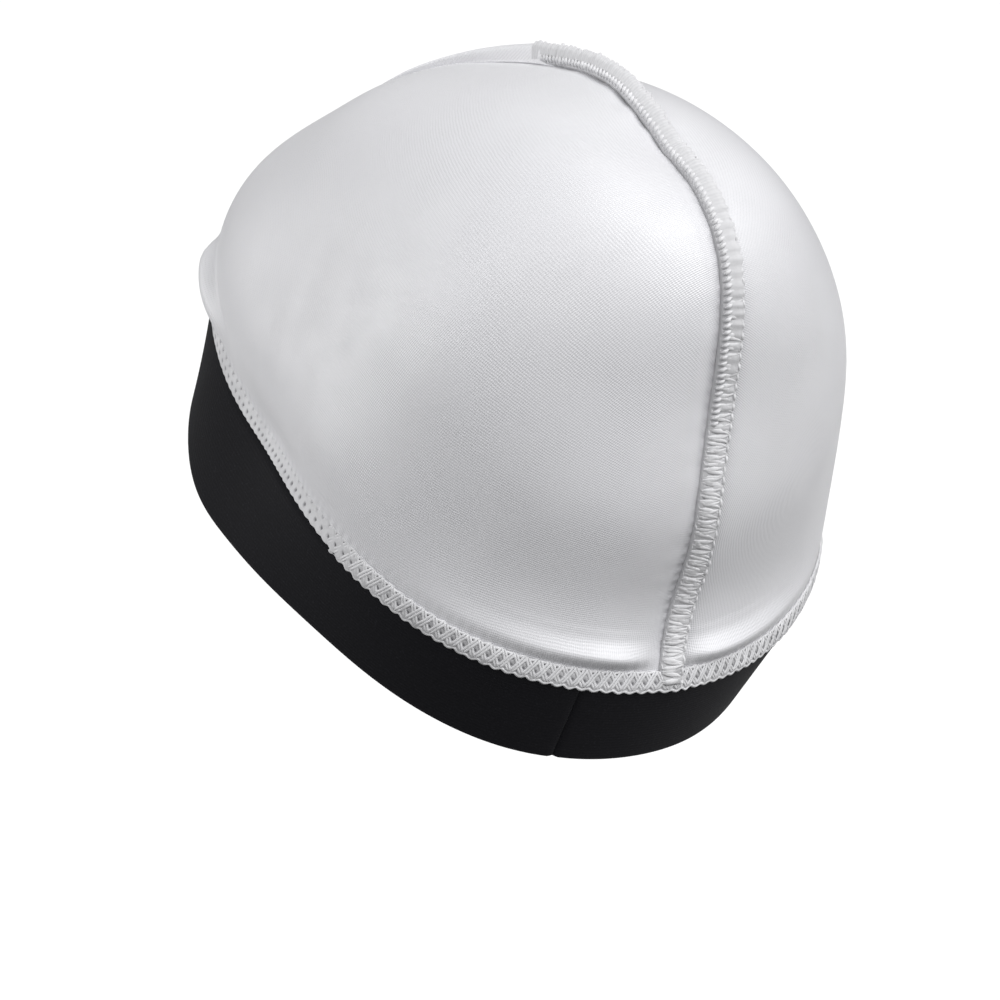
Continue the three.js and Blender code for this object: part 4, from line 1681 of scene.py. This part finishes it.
@dataclass
class BackSeam:
    """The overlocked allowance of the back seam: two folded edges inside a cage of thread."""

    shape: CapShape
    cloth: bpy.types.Material
    thread: bpy.types.Material
    stitches: StitchTree
    section: AllowanceSection = AllowanceSection()
    cage: CageThreads = CageThreads()
    bead: BeadThread = BeadThread()
    fold: CrownFold = CrownFold()
    width: float = 5.6 * MM
    thickness: float = 1.5 * MM
    pitch: float = 2.55 * MM
    tightening: float = 0.2
    tube: float = 0.36 * MM
    stray: float = 0.75 * MM
    sewn_share: float = 0.985
    end_share: float = 0.009
    second_pitch: float = 1.37
    second_shift: float = 0.18
    bead_pitch: float = 1.6 * MM
    bead_start: float = 0.4
    press_start: float = 0.35
    press_full: float = 0.6
    sunk: float = 0.2
    drawn_in: float = 0.08
    foot_depth: float = 0.75 * MM
    foot_reach: float = 0.5 * MM
    shade: float = 0.22
    rib_shade: float = 0.05
    ribs_per_stitch: float = 2.4
    rib_warp: float = 2.5
    slow_rates: tuple[float, float] = (0.37, 0.153)
    lump_rates: tuple[float, float, float] = (0.71, 0.11, 0.29)
    lump_warp: float = 2.0
    sections_per_stitch: int = 12
    guide_points: int = 700
    climb_step: float = 0.01
    tuck: float = 0.35
    tuck_lean: float = 0.45
    tuck_rise: float = 0.02

    def build(self) -> list[bpy.types.Object]:
        """Make the folded cloth, its threads and the fold in front of them.

        Returns:
            Three pieces.
        """
        guide, share = self.guide()
        stitches = round(guide.length() / self.pitch)
        cloth = self.folded_cloth(guide, stitches)
        threads = gathered("crown_seam_threads", self.runs(guide, share, stitches), self.thread)
        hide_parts("crown_seam")
        for piece in (cloth, threads):
            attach(piece, "root")
        fold = self.fold.piece(self.shape, self.cloth)
        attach(fold, "root")
        return [cloth, threads, fold]

    def guide(self) -> tuple[Guide, np.ndarray]:
        """Needle line of the seam and its directions.

        Returns:
            The guide, and the share of the seam's run at each of its points.
        """
        shape = self.shape
        low = self.tuck * shape.ribbon_width / float(shape.per_climb(np.array(BACK_MIDDLE)))
        climb = np.linspace(low, shape.seam_end, self.guide_points)
        step = self.climb_step
        forward = unit(shape.middle_line(climb + step) - shape.middle_line(climb - step))
        sideways = np.broadcast_to((1.0, 0.0, 0.0), forward.shape)
        out = unit(np.cross(forward, sideways))
        share = np.clip(shape.seam_share(climb), 0, 1)
        free = smooth_step(climb, low, shape.seam_start() + self.tuck_rise)
        upright = shape.seam_curve["upright"](share) * (self.tuck_lean + (1 - self.tuck_lean) * free)
        across, through = leaning(sideways, out, upright)
        wander = shape.seam_wander * shape.seam_curve["wander"](share)
        foot = shape.middle_line(climb) + sideways * wander[:, None] + out * shape.clearance
        return Guide(shape.place(foot), shape.turn(across), shape.turn(through), False), share

    def runs(self, guide: Guide, share: np.ndarray, stitches: int) -> list[bpy.types.Mesh]:
        """Threads of the seam: the cage, second crossing threads lower down and beads higher up.

        Args:
            guide: Needle line of the seam.
            share: Share of the seam's run at each of its points.
            stitches: Number of stitches on the whole line.

        Returns:
            One mesh for each run of thread.
        """
        sewn = round(len(guide.points) * self.sewn_share)
        first = round(len(guide.points) * self.bead_start)
        pressed = smooth_step(share, self.press_start, self.press_full)[:sewn, None]
        short = Guide(guide.points[:sewn], guide.across[:sewn] * (1 - self.drawn_in * pressed),
                      guide.outward[:sewn] * (1 - self.sunk * pressed), False)
        sizes = (self.width, self.thickness, self.tube)
        count = round(stitches * self.sewn_share)
        cage = self.cage.bodies(self.pitch, *sizes)
        runs = [self.stitches.lay(short, body, self.pitch, self.thread, self.tightening, self.stray, count)
                for body in cage]
        between = cage[0]._replace(vertices=cage[0].vertices + (self.second_shift * self.pitch, 0.0, 0.0))
        bead = self.bead.body(self.bead_pitch, *sizes)
        second = self.pitch * self.second_pitch
        for line, body, pitch in ((short.part(0, first), between, second),
                                  (guide.part(first, sewn), bead, self.bead_pitch)):
            runs.append(self.stitches.lay(line, body, pitch, self.thread, unevenness=self.stray))
        return runs

    def folded_cloth(self, guide: Guide, stitches: int) -> bpy.types.Object:
        """Puffy folded edges that the threads press in at every stitch.

        Args:
            guide: Needle line of the seam.
            stitches: Number of stitches on it.

        Returns:
            The dressed piece.
        """
        row = np.linspace(0, 1, stitches * self.sections_per_stitch)
        points, across, out = guide.rows(row + self.tightening * row * (1 - row))
        from_end = (row - 1 + self.end_share) / self.end_share
        rounding = np.sqrt(1 - np.clip(from_end, 0, 1) ** 2)[:, None]
        changes = self.changes(row, stitches)
        edge = self.width * EDGE_SWELL.times(changes)
        fat = self.thickness * FAT_SWELL.times(changes)
        section = self.section
        ends_wide = section.end_width + (1 - section.end_width) * rounding
        ends_high = section.end_thickness + (1 - section.end_thickness) * rounding
        wide = edge[:, None] * section.reach() * ends_wide - self.foot_reach * section.foot()
        half = fat[:, None] * 0.5 * section.half_height(changes["high_up"]) * ends_high
        high = self.thickness * 0.5 + half - self.foot_depth * section.foot()
        rings = points[:, None] + across[:, None] * wide[..., None] + out[:, None] * high[..., None]
        piece = make_piece("crown_seam_cloth", skinned(rings, cap_ends=True), self.thread)
        # Painted shade on the folded cloth, with darker lines between its ribs on the upper part.
        shade = self.shade + self.rib_shade * changes["high_up"] * (changes["ribs"] - 1)
        note_numbers(piece, "painted_shade", np.append(np.repeat(shade, section.corners), (0.0, 0.0)))
        return piece

    def changes(self, row: np.ndarray, stitches: int) -> dict[str, np.ndarray]:
        """Strength of each change of the cloth along the seam.

        Args:
            row: Shares of the seam's length.
            stitches: Number of stitches on it.

        Returns:
            Strengths by the names that Swell has for them.
        """
        phase = FULL_TURN * row * stitches
        slow, slower = (phase * rate for rate in self.slow_rates)
        lump, warp, swing = (phase * rate for rate in self.lump_rates)
        lumps = np.sin(lump + self.lump_warp * np.sin(warp)) * np.sin(swing + 0.5)
        high_up = smooth_step(row, self.press_start, self.press_full)
        return {
            "puff": 0.5 - 0.5 * np.cos(phase),
            "slow": 0.5 * np.sin(slow + 1.0) + 0.5 * np.sin(slower),
            "lumps": lumps,
            "knot": hump((row - 1 + self.end_share) / self.end_share),
            "ribs": np.sin(self.ribs_per_stitch * phase + self.rib_warp * lumps) * high_up,
            "high_up": high_up,
        }


class RibbonSide(Enum):
    """The two faces of the hem's flat stitching."""

    OUTSIDE = "hem_stitching"
    INSIDE = "hem_stitching_inside"


@dataclass
class HemStitching:
    """The flat stitching round the hem: a padded, pierced bed, and threads on both faces of the cloth."""

    shape: CapShape
    thread: bpy.types.Material
    stitches: StitchTree
    pitch: float = HEM_PITCH
    tube: float = 0.34 * MM
    strand_width: float = 2.2
    strand_height: float = 1.2
    sides: int = 6
    stray: float = 0.55 * MM
    inner_stray: float = 0.3 * MM
    inner_depth: float = 5.25 * MM
    above_cloth: float = 0.12 * MM
    slope_span: float = 0.6
    stations: int = 720
    lump_height: float = 0.85 * MM
    lump_half_width: float = 6 * MM
    lump_side: float = -2.6 * MM
    sunk: float = 0.5
    sunk_to: float = math.radians(95)
    loose_from: float = math.radians(140)
    loose_shade: float = 0.32
    bed_thickness: float = 0.62 * MM
    bed_columns: int = 16
    bed_rows: int = 21
    bed_back: float = 0.05 * MM
    bed_end: float = 0.015
    bed_squareness: float = 0.28
    bed_fullness: float = 0.88
    bed_thinning: float = 0.12
    bed_puff: float = 0.1
    upper_puffs_from: float = 0.66
    lobe_reach: float = 0.13
    lobe_roundness: float = 0.6
    edge_ripple: float = 0.03
    middle_row: float = 0.42
    upper_row: float = 0.93
    pit_below_row: float = 0.07
    pit_depth: float = 0.8
    pit_length: float = 0.2
    pit_width: float = 0.1
    pit_slant: tuple[float, float] = (0.8, 0.6)
    dash_start: float = 0.12
    strand_steps: int = 9
    strand_gap: float = 0.26
    cap_gap: float = 0.06 * MM
    strand_rise: float = 0.92
    strand_bend: float = 0.3
    strand_shift: float = 0.02
    crossing_place: float = 0.9
    over_lift: float = 0.09 * MM
    under_sink: float = 0.05 * MM
    dive_depth: float = 0.32 * MM
    dive_reach: float = 0.16
    loop_place: float = 0.45
    loop_swing: float = 0.11
    loop_height: float = 0.62
    loop_sink: float = 0.2
    dash_slant: float = 0.12
    dash_depth: float = 0.46 * MM
    dash_lift: float = 0.3 * MM

    def build(self) -> list[bpy.types.Object]:
        """Make the outside and the inside of the stitching.

        Returns:
            Three pieces.
        """
        guide = self.guide(RibbonSide.OUTSIDE)
        around_hem = guide.length()
        count = round(around_hem / self.pitch)
        pitch = around_hem / count
        bed = self.bed(guide, count)
        threads, inside = (
            gathered(name, [self.stitches.lay(line, body, pitch, self.thread, 0.0, stray, count)
                            for body in self.lattice(pitch)], self.thread)
            for name, line, stray in (
                ("hem_stitching_threads", guide, self.stray),
                (RibbonSide.INSIDE.value, self.guide(RibbonSide.INSIDE), self.inner_stray),
            )
        )
        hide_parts("hem_seam")
        for piece in (bed, threads, inside):
            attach(piece, "root")
        return [bed, threads, inside]

    def guide(self, side: RibbonSide) -> Guide:
        """Middle line of the stitching, on one face of the cloth.

        Args:
            side: The face that it lies on.

        Returns:
            The closed guide, as worn.
        """
        shape = self.shape
        angle = ring_angles(self.stations, 0.0)
        middle = np.full_like(angle, shape.ribbon_width / 2)
        outward = shape.outward(shape.skin, angle, middle, shape.height_step)
        span = self.slope_span
        above, below = (shape.skin(angle, middle * share) for share in (1 + span, 1 - span))
        points = shape.skin(angle, middle)
        if side is RibbonSide.OUTSIDE:
            lump = hump((points[:, 0] - self.lump_side) / self.lump_half_width) * (np.cos(angle) < 0)
            points = points + outward * (self.above_cloth + self.lump_height * lump)[:, None]
        else:
            points = points - outward * self.inner_depth
            outward = -outward
        raised = (1 - self.sunk) + self.sunk * self.looseness(angle)
        upward = unit(above - below)
        return Guide(shape.place(points), shape.turn(upward), shape.turn(outward * raised[:, None]), True)

    def looseness(self, angle: np.ndarray) -> np.ndarray:
        """How clearly the threads lie on the bed: 0 at the front, where they sink in, and 1 at the back."""
        from_front = np.abs((angle + math.pi) % FULL_TURN - math.pi)
        return smooth_step(from_front, self.sunk_to, self.loose_from)

    def bed(self, guide: Guide, count: int) -> bpy.types.Object:
        """Padded bed under the threads, lobed along its lower edge and pierced by the needles.

        Args:
            guide: Middle line of the stitching.
            count: Number of stitches round the hem.

        Returns:
            The dressed piece.
        """
        row = np.arange(count * self.bed_columns) / (count * self.bed_columns)
        points, across, out = guide.rows(row)
        out = unit(out)
        phase = (row * count)[:, None]
        loose = self.looseness(FULL_TURN * row)[:, None]
        v = np.linspace(0, 1, self.bed_rows)
        lobe = np.abs(np.cos(math.pi * phase)) ** self.lobe_roundness
        lobe = (self.edge_ripple + self.lobe_reach * loose) * lobe - self.edge_ripple
        ripple = self.edge_ripple * np.cos(FULL_TURN * phase)
        place = self.shape.ribbon_width * (v - 0.5 - lobe * (1 - v) ** 3 + ripple * v ** 4)
        pit = self.pits(phase, v)
        inner = np.clip(v, self.bed_end, 1 - self.bed_end)
        dome = (4 * inner * (1 - inner)) ** self.bed_squareness
        puff = self.bed_puff * np.cos(FULL_TURN * (phase - 0.5 * (v > self.upper_puffs_from)))
        full = self.bed_fullness - self.bed_thinning * loose + puff
        top = self.bed_thickness * dome * full * (1 - self.pit_depth * pit)
        outer = points[:, None] + across[:, None] * place[..., None] + out[:, None] * top[..., None]
        under = place[:, ::-3]
        bottom = points[:, None] + across[:, None] * under[..., None] - out[:, None] * self.bed_back
        body = skinned(np.concatenate([outer, bottom], axis=1), wrap_rows=True)
        piece = make_piece(RibbonSide.OUTSIDE.value, body, self.thread)
        # Painted shade: darker in the needle holes, and among the loose threads towards the back.
        painted_shade = np.concatenate([np.maximum(pit, self.loose_shade * loose), np.zeros(under.shape)], axis=1)
        note_numbers(piece, "painted_shade", np.clip(painted_shade, 0, 1))
        return piece

    def pits(self, phase: np.ndarray, share: np.ndarray) -> np.ndarray:
        """Depth of the slanted needle holes.

        Args:
            phase: Places along the stitching, counted in stitches.
            share: Shares of its width, from the lower edge.

        Returns:
            Depths from 0 to 1.
        """
        depth = 0.0
        along, aside = self.pit_slant
        upper = (self.upper_row - self.pit_below_row, self.dash_start + 0.5)
        for row, start in ((self.middle_row, self.dash_start), upper):
            away = (phase - start + 0.5) % 1.0 - 0.5
            rise = (share - row) * self.shape.ribbon_width / self.pitch
            length = (away * along - rise * aside) / self.pit_length
            width = (rise * along + away * aside) / self.pit_width
            depth = np.maximum(depth, np.exp(-length ** 2 - width ** 2))
        return depth

    def lattice(self, pitch: float) -> list[Body]:
        """Crossing threads, edge loops and needle stitches for one pitch.

        Args:
            pitch: Length of one stitch.

        Returns:
            One body for each thread.
        """
        width = self.shape.ribbon_width
        lift = self.bed_thickness * self.crossing_place
        t = np.linspace(0, 1, self.strand_steps)
        rise = (self.strand_bend * eased(t) + (1 - self.strand_bend) * t - 0.5) * self.strand_rise * width
        dive = self.dive_depth * (hump(t / self.dive_reach) + hump((1 - t) / self.dive_reach))
        arch = np.sin(math.pi * t) ** 2
        over = lift + self.over_lift * arch - dive
        under = lift - self.under_sink * arch - dive
        shift = self.strand_shift * width
        threads = []
        for start in (0.0, self.strand_gap):
            along = pitch * (t + start)
            threads.append(np.stack([along, rise + shift, over], axis=-1))
            threads.append(np.stack([along + self.cap_gap, -rise + shift, under], axis=-1))
        wave = eased(2 * t)
        loop_across = width * (-self.loop_place - self.loop_swing * wave)
        loop_out = lift * (self.loop_height - self.loop_sink * wave)
        threads.append(np.stack([pitch * (t + 0.5), loop_across, loop_out], axis=-1))
        dash_across = width * (self.upper_row - 0.5 + self.dash_slant * (t - 0.5))
        dash_out = lift - self.dash_depth + self.dash_lift * wave ** 2
        threads.append(np.stack([pitch * (t + self.dash_start), dash_across, dash_out], axis=-1))
        sizes = (self.tube * self.strand_width, self.tube * self.strand_height)
        return [strand_body(Strand(places, *sizes), self.sides) for places in threads]


@dataclass
class Headband:
    """The black elastic: one strip with soft edges, whose ends meet left of the nape."""

    shape: CapShape
    finish: bpy.types.Material
    thickness: float = 1.5 * MM
    top_share: float = 0.27
    join_place: float = math.radians(16.8)
    join_slant: float = math.radians(1)
    join_gap: float = 0.12 * MM
    stations: int = 600
    levels: int = 26
    crowding: float = 0.012
    corner: float = 0.5 * MM
    corner_steps: int = 9
    ripple: float = 0.12 * MM
    long_ripple: float = 17 * MM
    short_ripple: float = 7.3 * MM
    short_share: float = 0.6
    press_depth: float = 0.55 * MM
    press_reach: float = 0.8 * MM

    def build(self) -> list[bpy.types.Object]:
        """Make the strip and dress it.

        Returns:
            The one piece.
        """
        shape = self.shape
        start = BACK_MIDDLE - self.join_place
        half_gap = self.join_gap / shape.back_reach / 2
        share = np.linspace(0, 1, self.stations)
        crowded = share - self.crowding * np.sin(FULL_TURN * share)
        angle = start + half_gap + (FULL_TURN - 2 * half_gap) * crowded
        height, depth = self.section()
        slanted = angle[:, None] - self.join_slant * height[None, :] / shape.band_width
        heights = np.broadcast_to(height, slanted.shape)
        run = ring_lengths(shape.skin(angle, np.full_like(angle, -shape.band_width / 2)))
        wave = np.sin(run / self.long_ripple) + self.short_share * np.sin(run / self.short_ripple + 1.0)
        lowness = np.clip(-height / shape.band_width, 0, 1) ** 2
        ripple = self.ripple * wave[:, None] * lowness[None, :]
        pressed = self.join_press(run)[:, None]
        distance = ripple - depth[None, :] - pressed * (depth < self.thickness / 2)
        rings = shape.place(shape.offset(slanted, heights, distance))
        piece = make_piece("elastic_headband", skinned(rings, cap_ends=True), self.finish)
        flat = np.stack([np.broadcast_to(run[:, None], slanted.shape), heights], axis=-1).reshape(-1, 2)
        note_grain(piece, np.concatenate([flat, np.zeros((2, 2))]))
        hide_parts("headband")
        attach(piece, "root")
        return [piece]

    def section(self) -> tuple[np.ndarray, np.ndarray]:
        """Cross-section of the strip.

        Returns:
            Heights above the hem and depths below the cloth's outside, once round.
        """
        top = self.top_share * self.shape.ribbon_width
        low = -self.shape.band_width
        face = np.linspace(top, low + self.corner, self.levels)
        turn = np.linspace(0, math.pi, self.corner_steps)[1:-1]
        edge_height = low + self.corner * (1 - np.sin(turn))
        edge_depth = self.thickness / 2 * (1 - np.cos(turn))
        height = np.concatenate([face, edge_height, face[::-1]])
        depth = np.concatenate([np.zeros_like(face), edge_depth, np.full_like(face, self.thickness)])
        return height, depth

    def join_press(self, run: np.ndarray) -> np.ndarray:
        """How far the strip dips beside its sewn join, by the distance run along it."""
        beside = np.minimum(run, run[-1] - run)
        return self.press_depth * np.exp(-(beside / self.press_reach) ** 2)


@dataclass
class Studio:
    """Pale floor, soft lights and the camera at the photograph's angle."""

    shape: CapShape
    frame_pixels: float = 1000.0
    focal_pixels: float = 4895.0
    sensor: float = 36.0
    azimuth: float = math.radians(30.5)
    elevation: float = math.radians(8)
    distance: float = 1.3
    shift_right: float = -9.3 * MM
    shift_up: float = -2.9 * MM
    aim: tuple[float, float, float] = (0.0, 22.36 * MM, -15.48 * MM)
    floor_drop: float = 0.28
    floor_reach: float = 60.0
    surround: float = 0.17
    light_spread: float = math.radians(36)

    def build(self) -> None:
        """Add floor, lights, surroundings and camera."""
        self.add_floor()
        self.add_lights()
        self.add_world()
        self.add_camera()
        bpy.context.scene.view_settings.view_transform = "Standard"

    def add_floor(self) -> None:
        """Large pale floor well below the cap."""
        low = CAD_BOX[0][2] - self.floor_drop
        reach = self.floor_reach
        corners = [(-reach, -reach, low), (reach, -reach, low), (reach, reach, low), (-reach, reach, low)]
        mesh = bpy.data.meshes.new("studio_floor")
        mesh.from_pydata(corners, [], [(0, 1, 2, 3)])
        mesh.materials.append(FloorFinish().material())
        floor = linked("studio_floor", mesh)
        floor.visible_diffuse = False

    def add_lights(self) -> None:
        """Wide soft lights: three from behind the wearer, one from the front of their left side."""
        self.soft_light("high_behind", azimuth=-40, elevation=60, strength=1.2)
        self.soft_light("left_behind", azimuth=48, elevation=28, strength=1.0)
        self.soft_light("right_behind", azimuth=-14, elevation=34, strength=2.35)
        self.soft_light("left_front", azimuth=134, elevation=14, strength=1.8)

    def soft_light(self, name: str, azimuth: float, elevation: float, strength: float) -> None:
        """Even light from a wide patch of the sky.

        Args:
            name: The light's name.
            azimuth: Degrees from straight behind the wearer towards their left.
            elevation: Degrees above the floor.
            strength: Watts on a square metre that faces it.
        """
        data = bpy.data.lights.new(name, "SUN")
        data.angle = self.light_spread
        data.energy = strength
        turn = math.radians(azimuth)
        climb = math.radians(elevation)
        away = Vector((math.sin(turn) * math.cos(climb), math.cos(turn) * math.cos(climb), math.sin(climb)))
        linked(name, data).rotation_euler = (-away).to_track_quat("-Z", "Y").to_euler()

    def add_world(self) -> None:
        """Even pale surroundings."""
        world = bpy.data.worlds.new("studio")
        world.use_nodes = True
        world.node_tree.nodes.clear()
        sketch = NodeSketch(world.node_tree)
        light = sketch.add("ShaderNodeBackground", {"Color": (1.0, 1.0, 1.0, 1.0), "Strength": self.surround})
        sketch.add("ShaderNodeOutputWorld", {"Surface": light.outputs[0]})
        bpy.context.scene.world = world

    def add_camera(self) -> None:
        """Camera behind the cap and to its left, slightly above."""
        cos_e = math.cos(self.elevation)
        level = np.array((math.sin(self.azimuth), math.cos(self.azimuth), 0.0))
        toward = level * cos_e + (0.0, 0.0, math.sin(self.elevation))
        right = np.array((-math.cos(self.azimuth), math.sin(self.azimuth), 0.0))
        up = np.cross(right, -toward)
        place = right * self.shift_right + up * self.shift_up + toward * self.distance + self.aim
        data = bpy.data.cameras.new("studio_camera")
        data.sensor_width = self.sensor
        data.lens = self.focal_pixels * self.sensor / self.frame_pixels
        camera = linked("studio_camera", data)
        axes = Matrix((right, up, toward)).transposed()
        camera.matrix_world = Matrix.Translation(place) @ axes.to_4x4()
        bpy.context.scene.camera = camera


def main() -> None:
    """Build the cap piece by piece, then its studio."""
    logging.basicConfig(level=logging.INFO, format="%(message)s")
    shape = CapShape()
    stitches = StitchTree()
    satin = SatinFinish().material()
    thread = ThreadFinish().material()
    elastic = ElasticFinish().material()
    sub_assemblies = (
        Crown(shape, satin),
        BackSeam(shape, satin, thread, stitches),
        HemStitching(shape, thread, stitches),
        Headband(shape, elastic),
    )
    for sub_assembly in sub_assemblies:
        for piece in sub_assembly.build():
            LOG.info("%s: %d faces", piece.name, len(piece.data.polygons))
    Studio(shape).build()


if __name__ == "__main__":
    main()
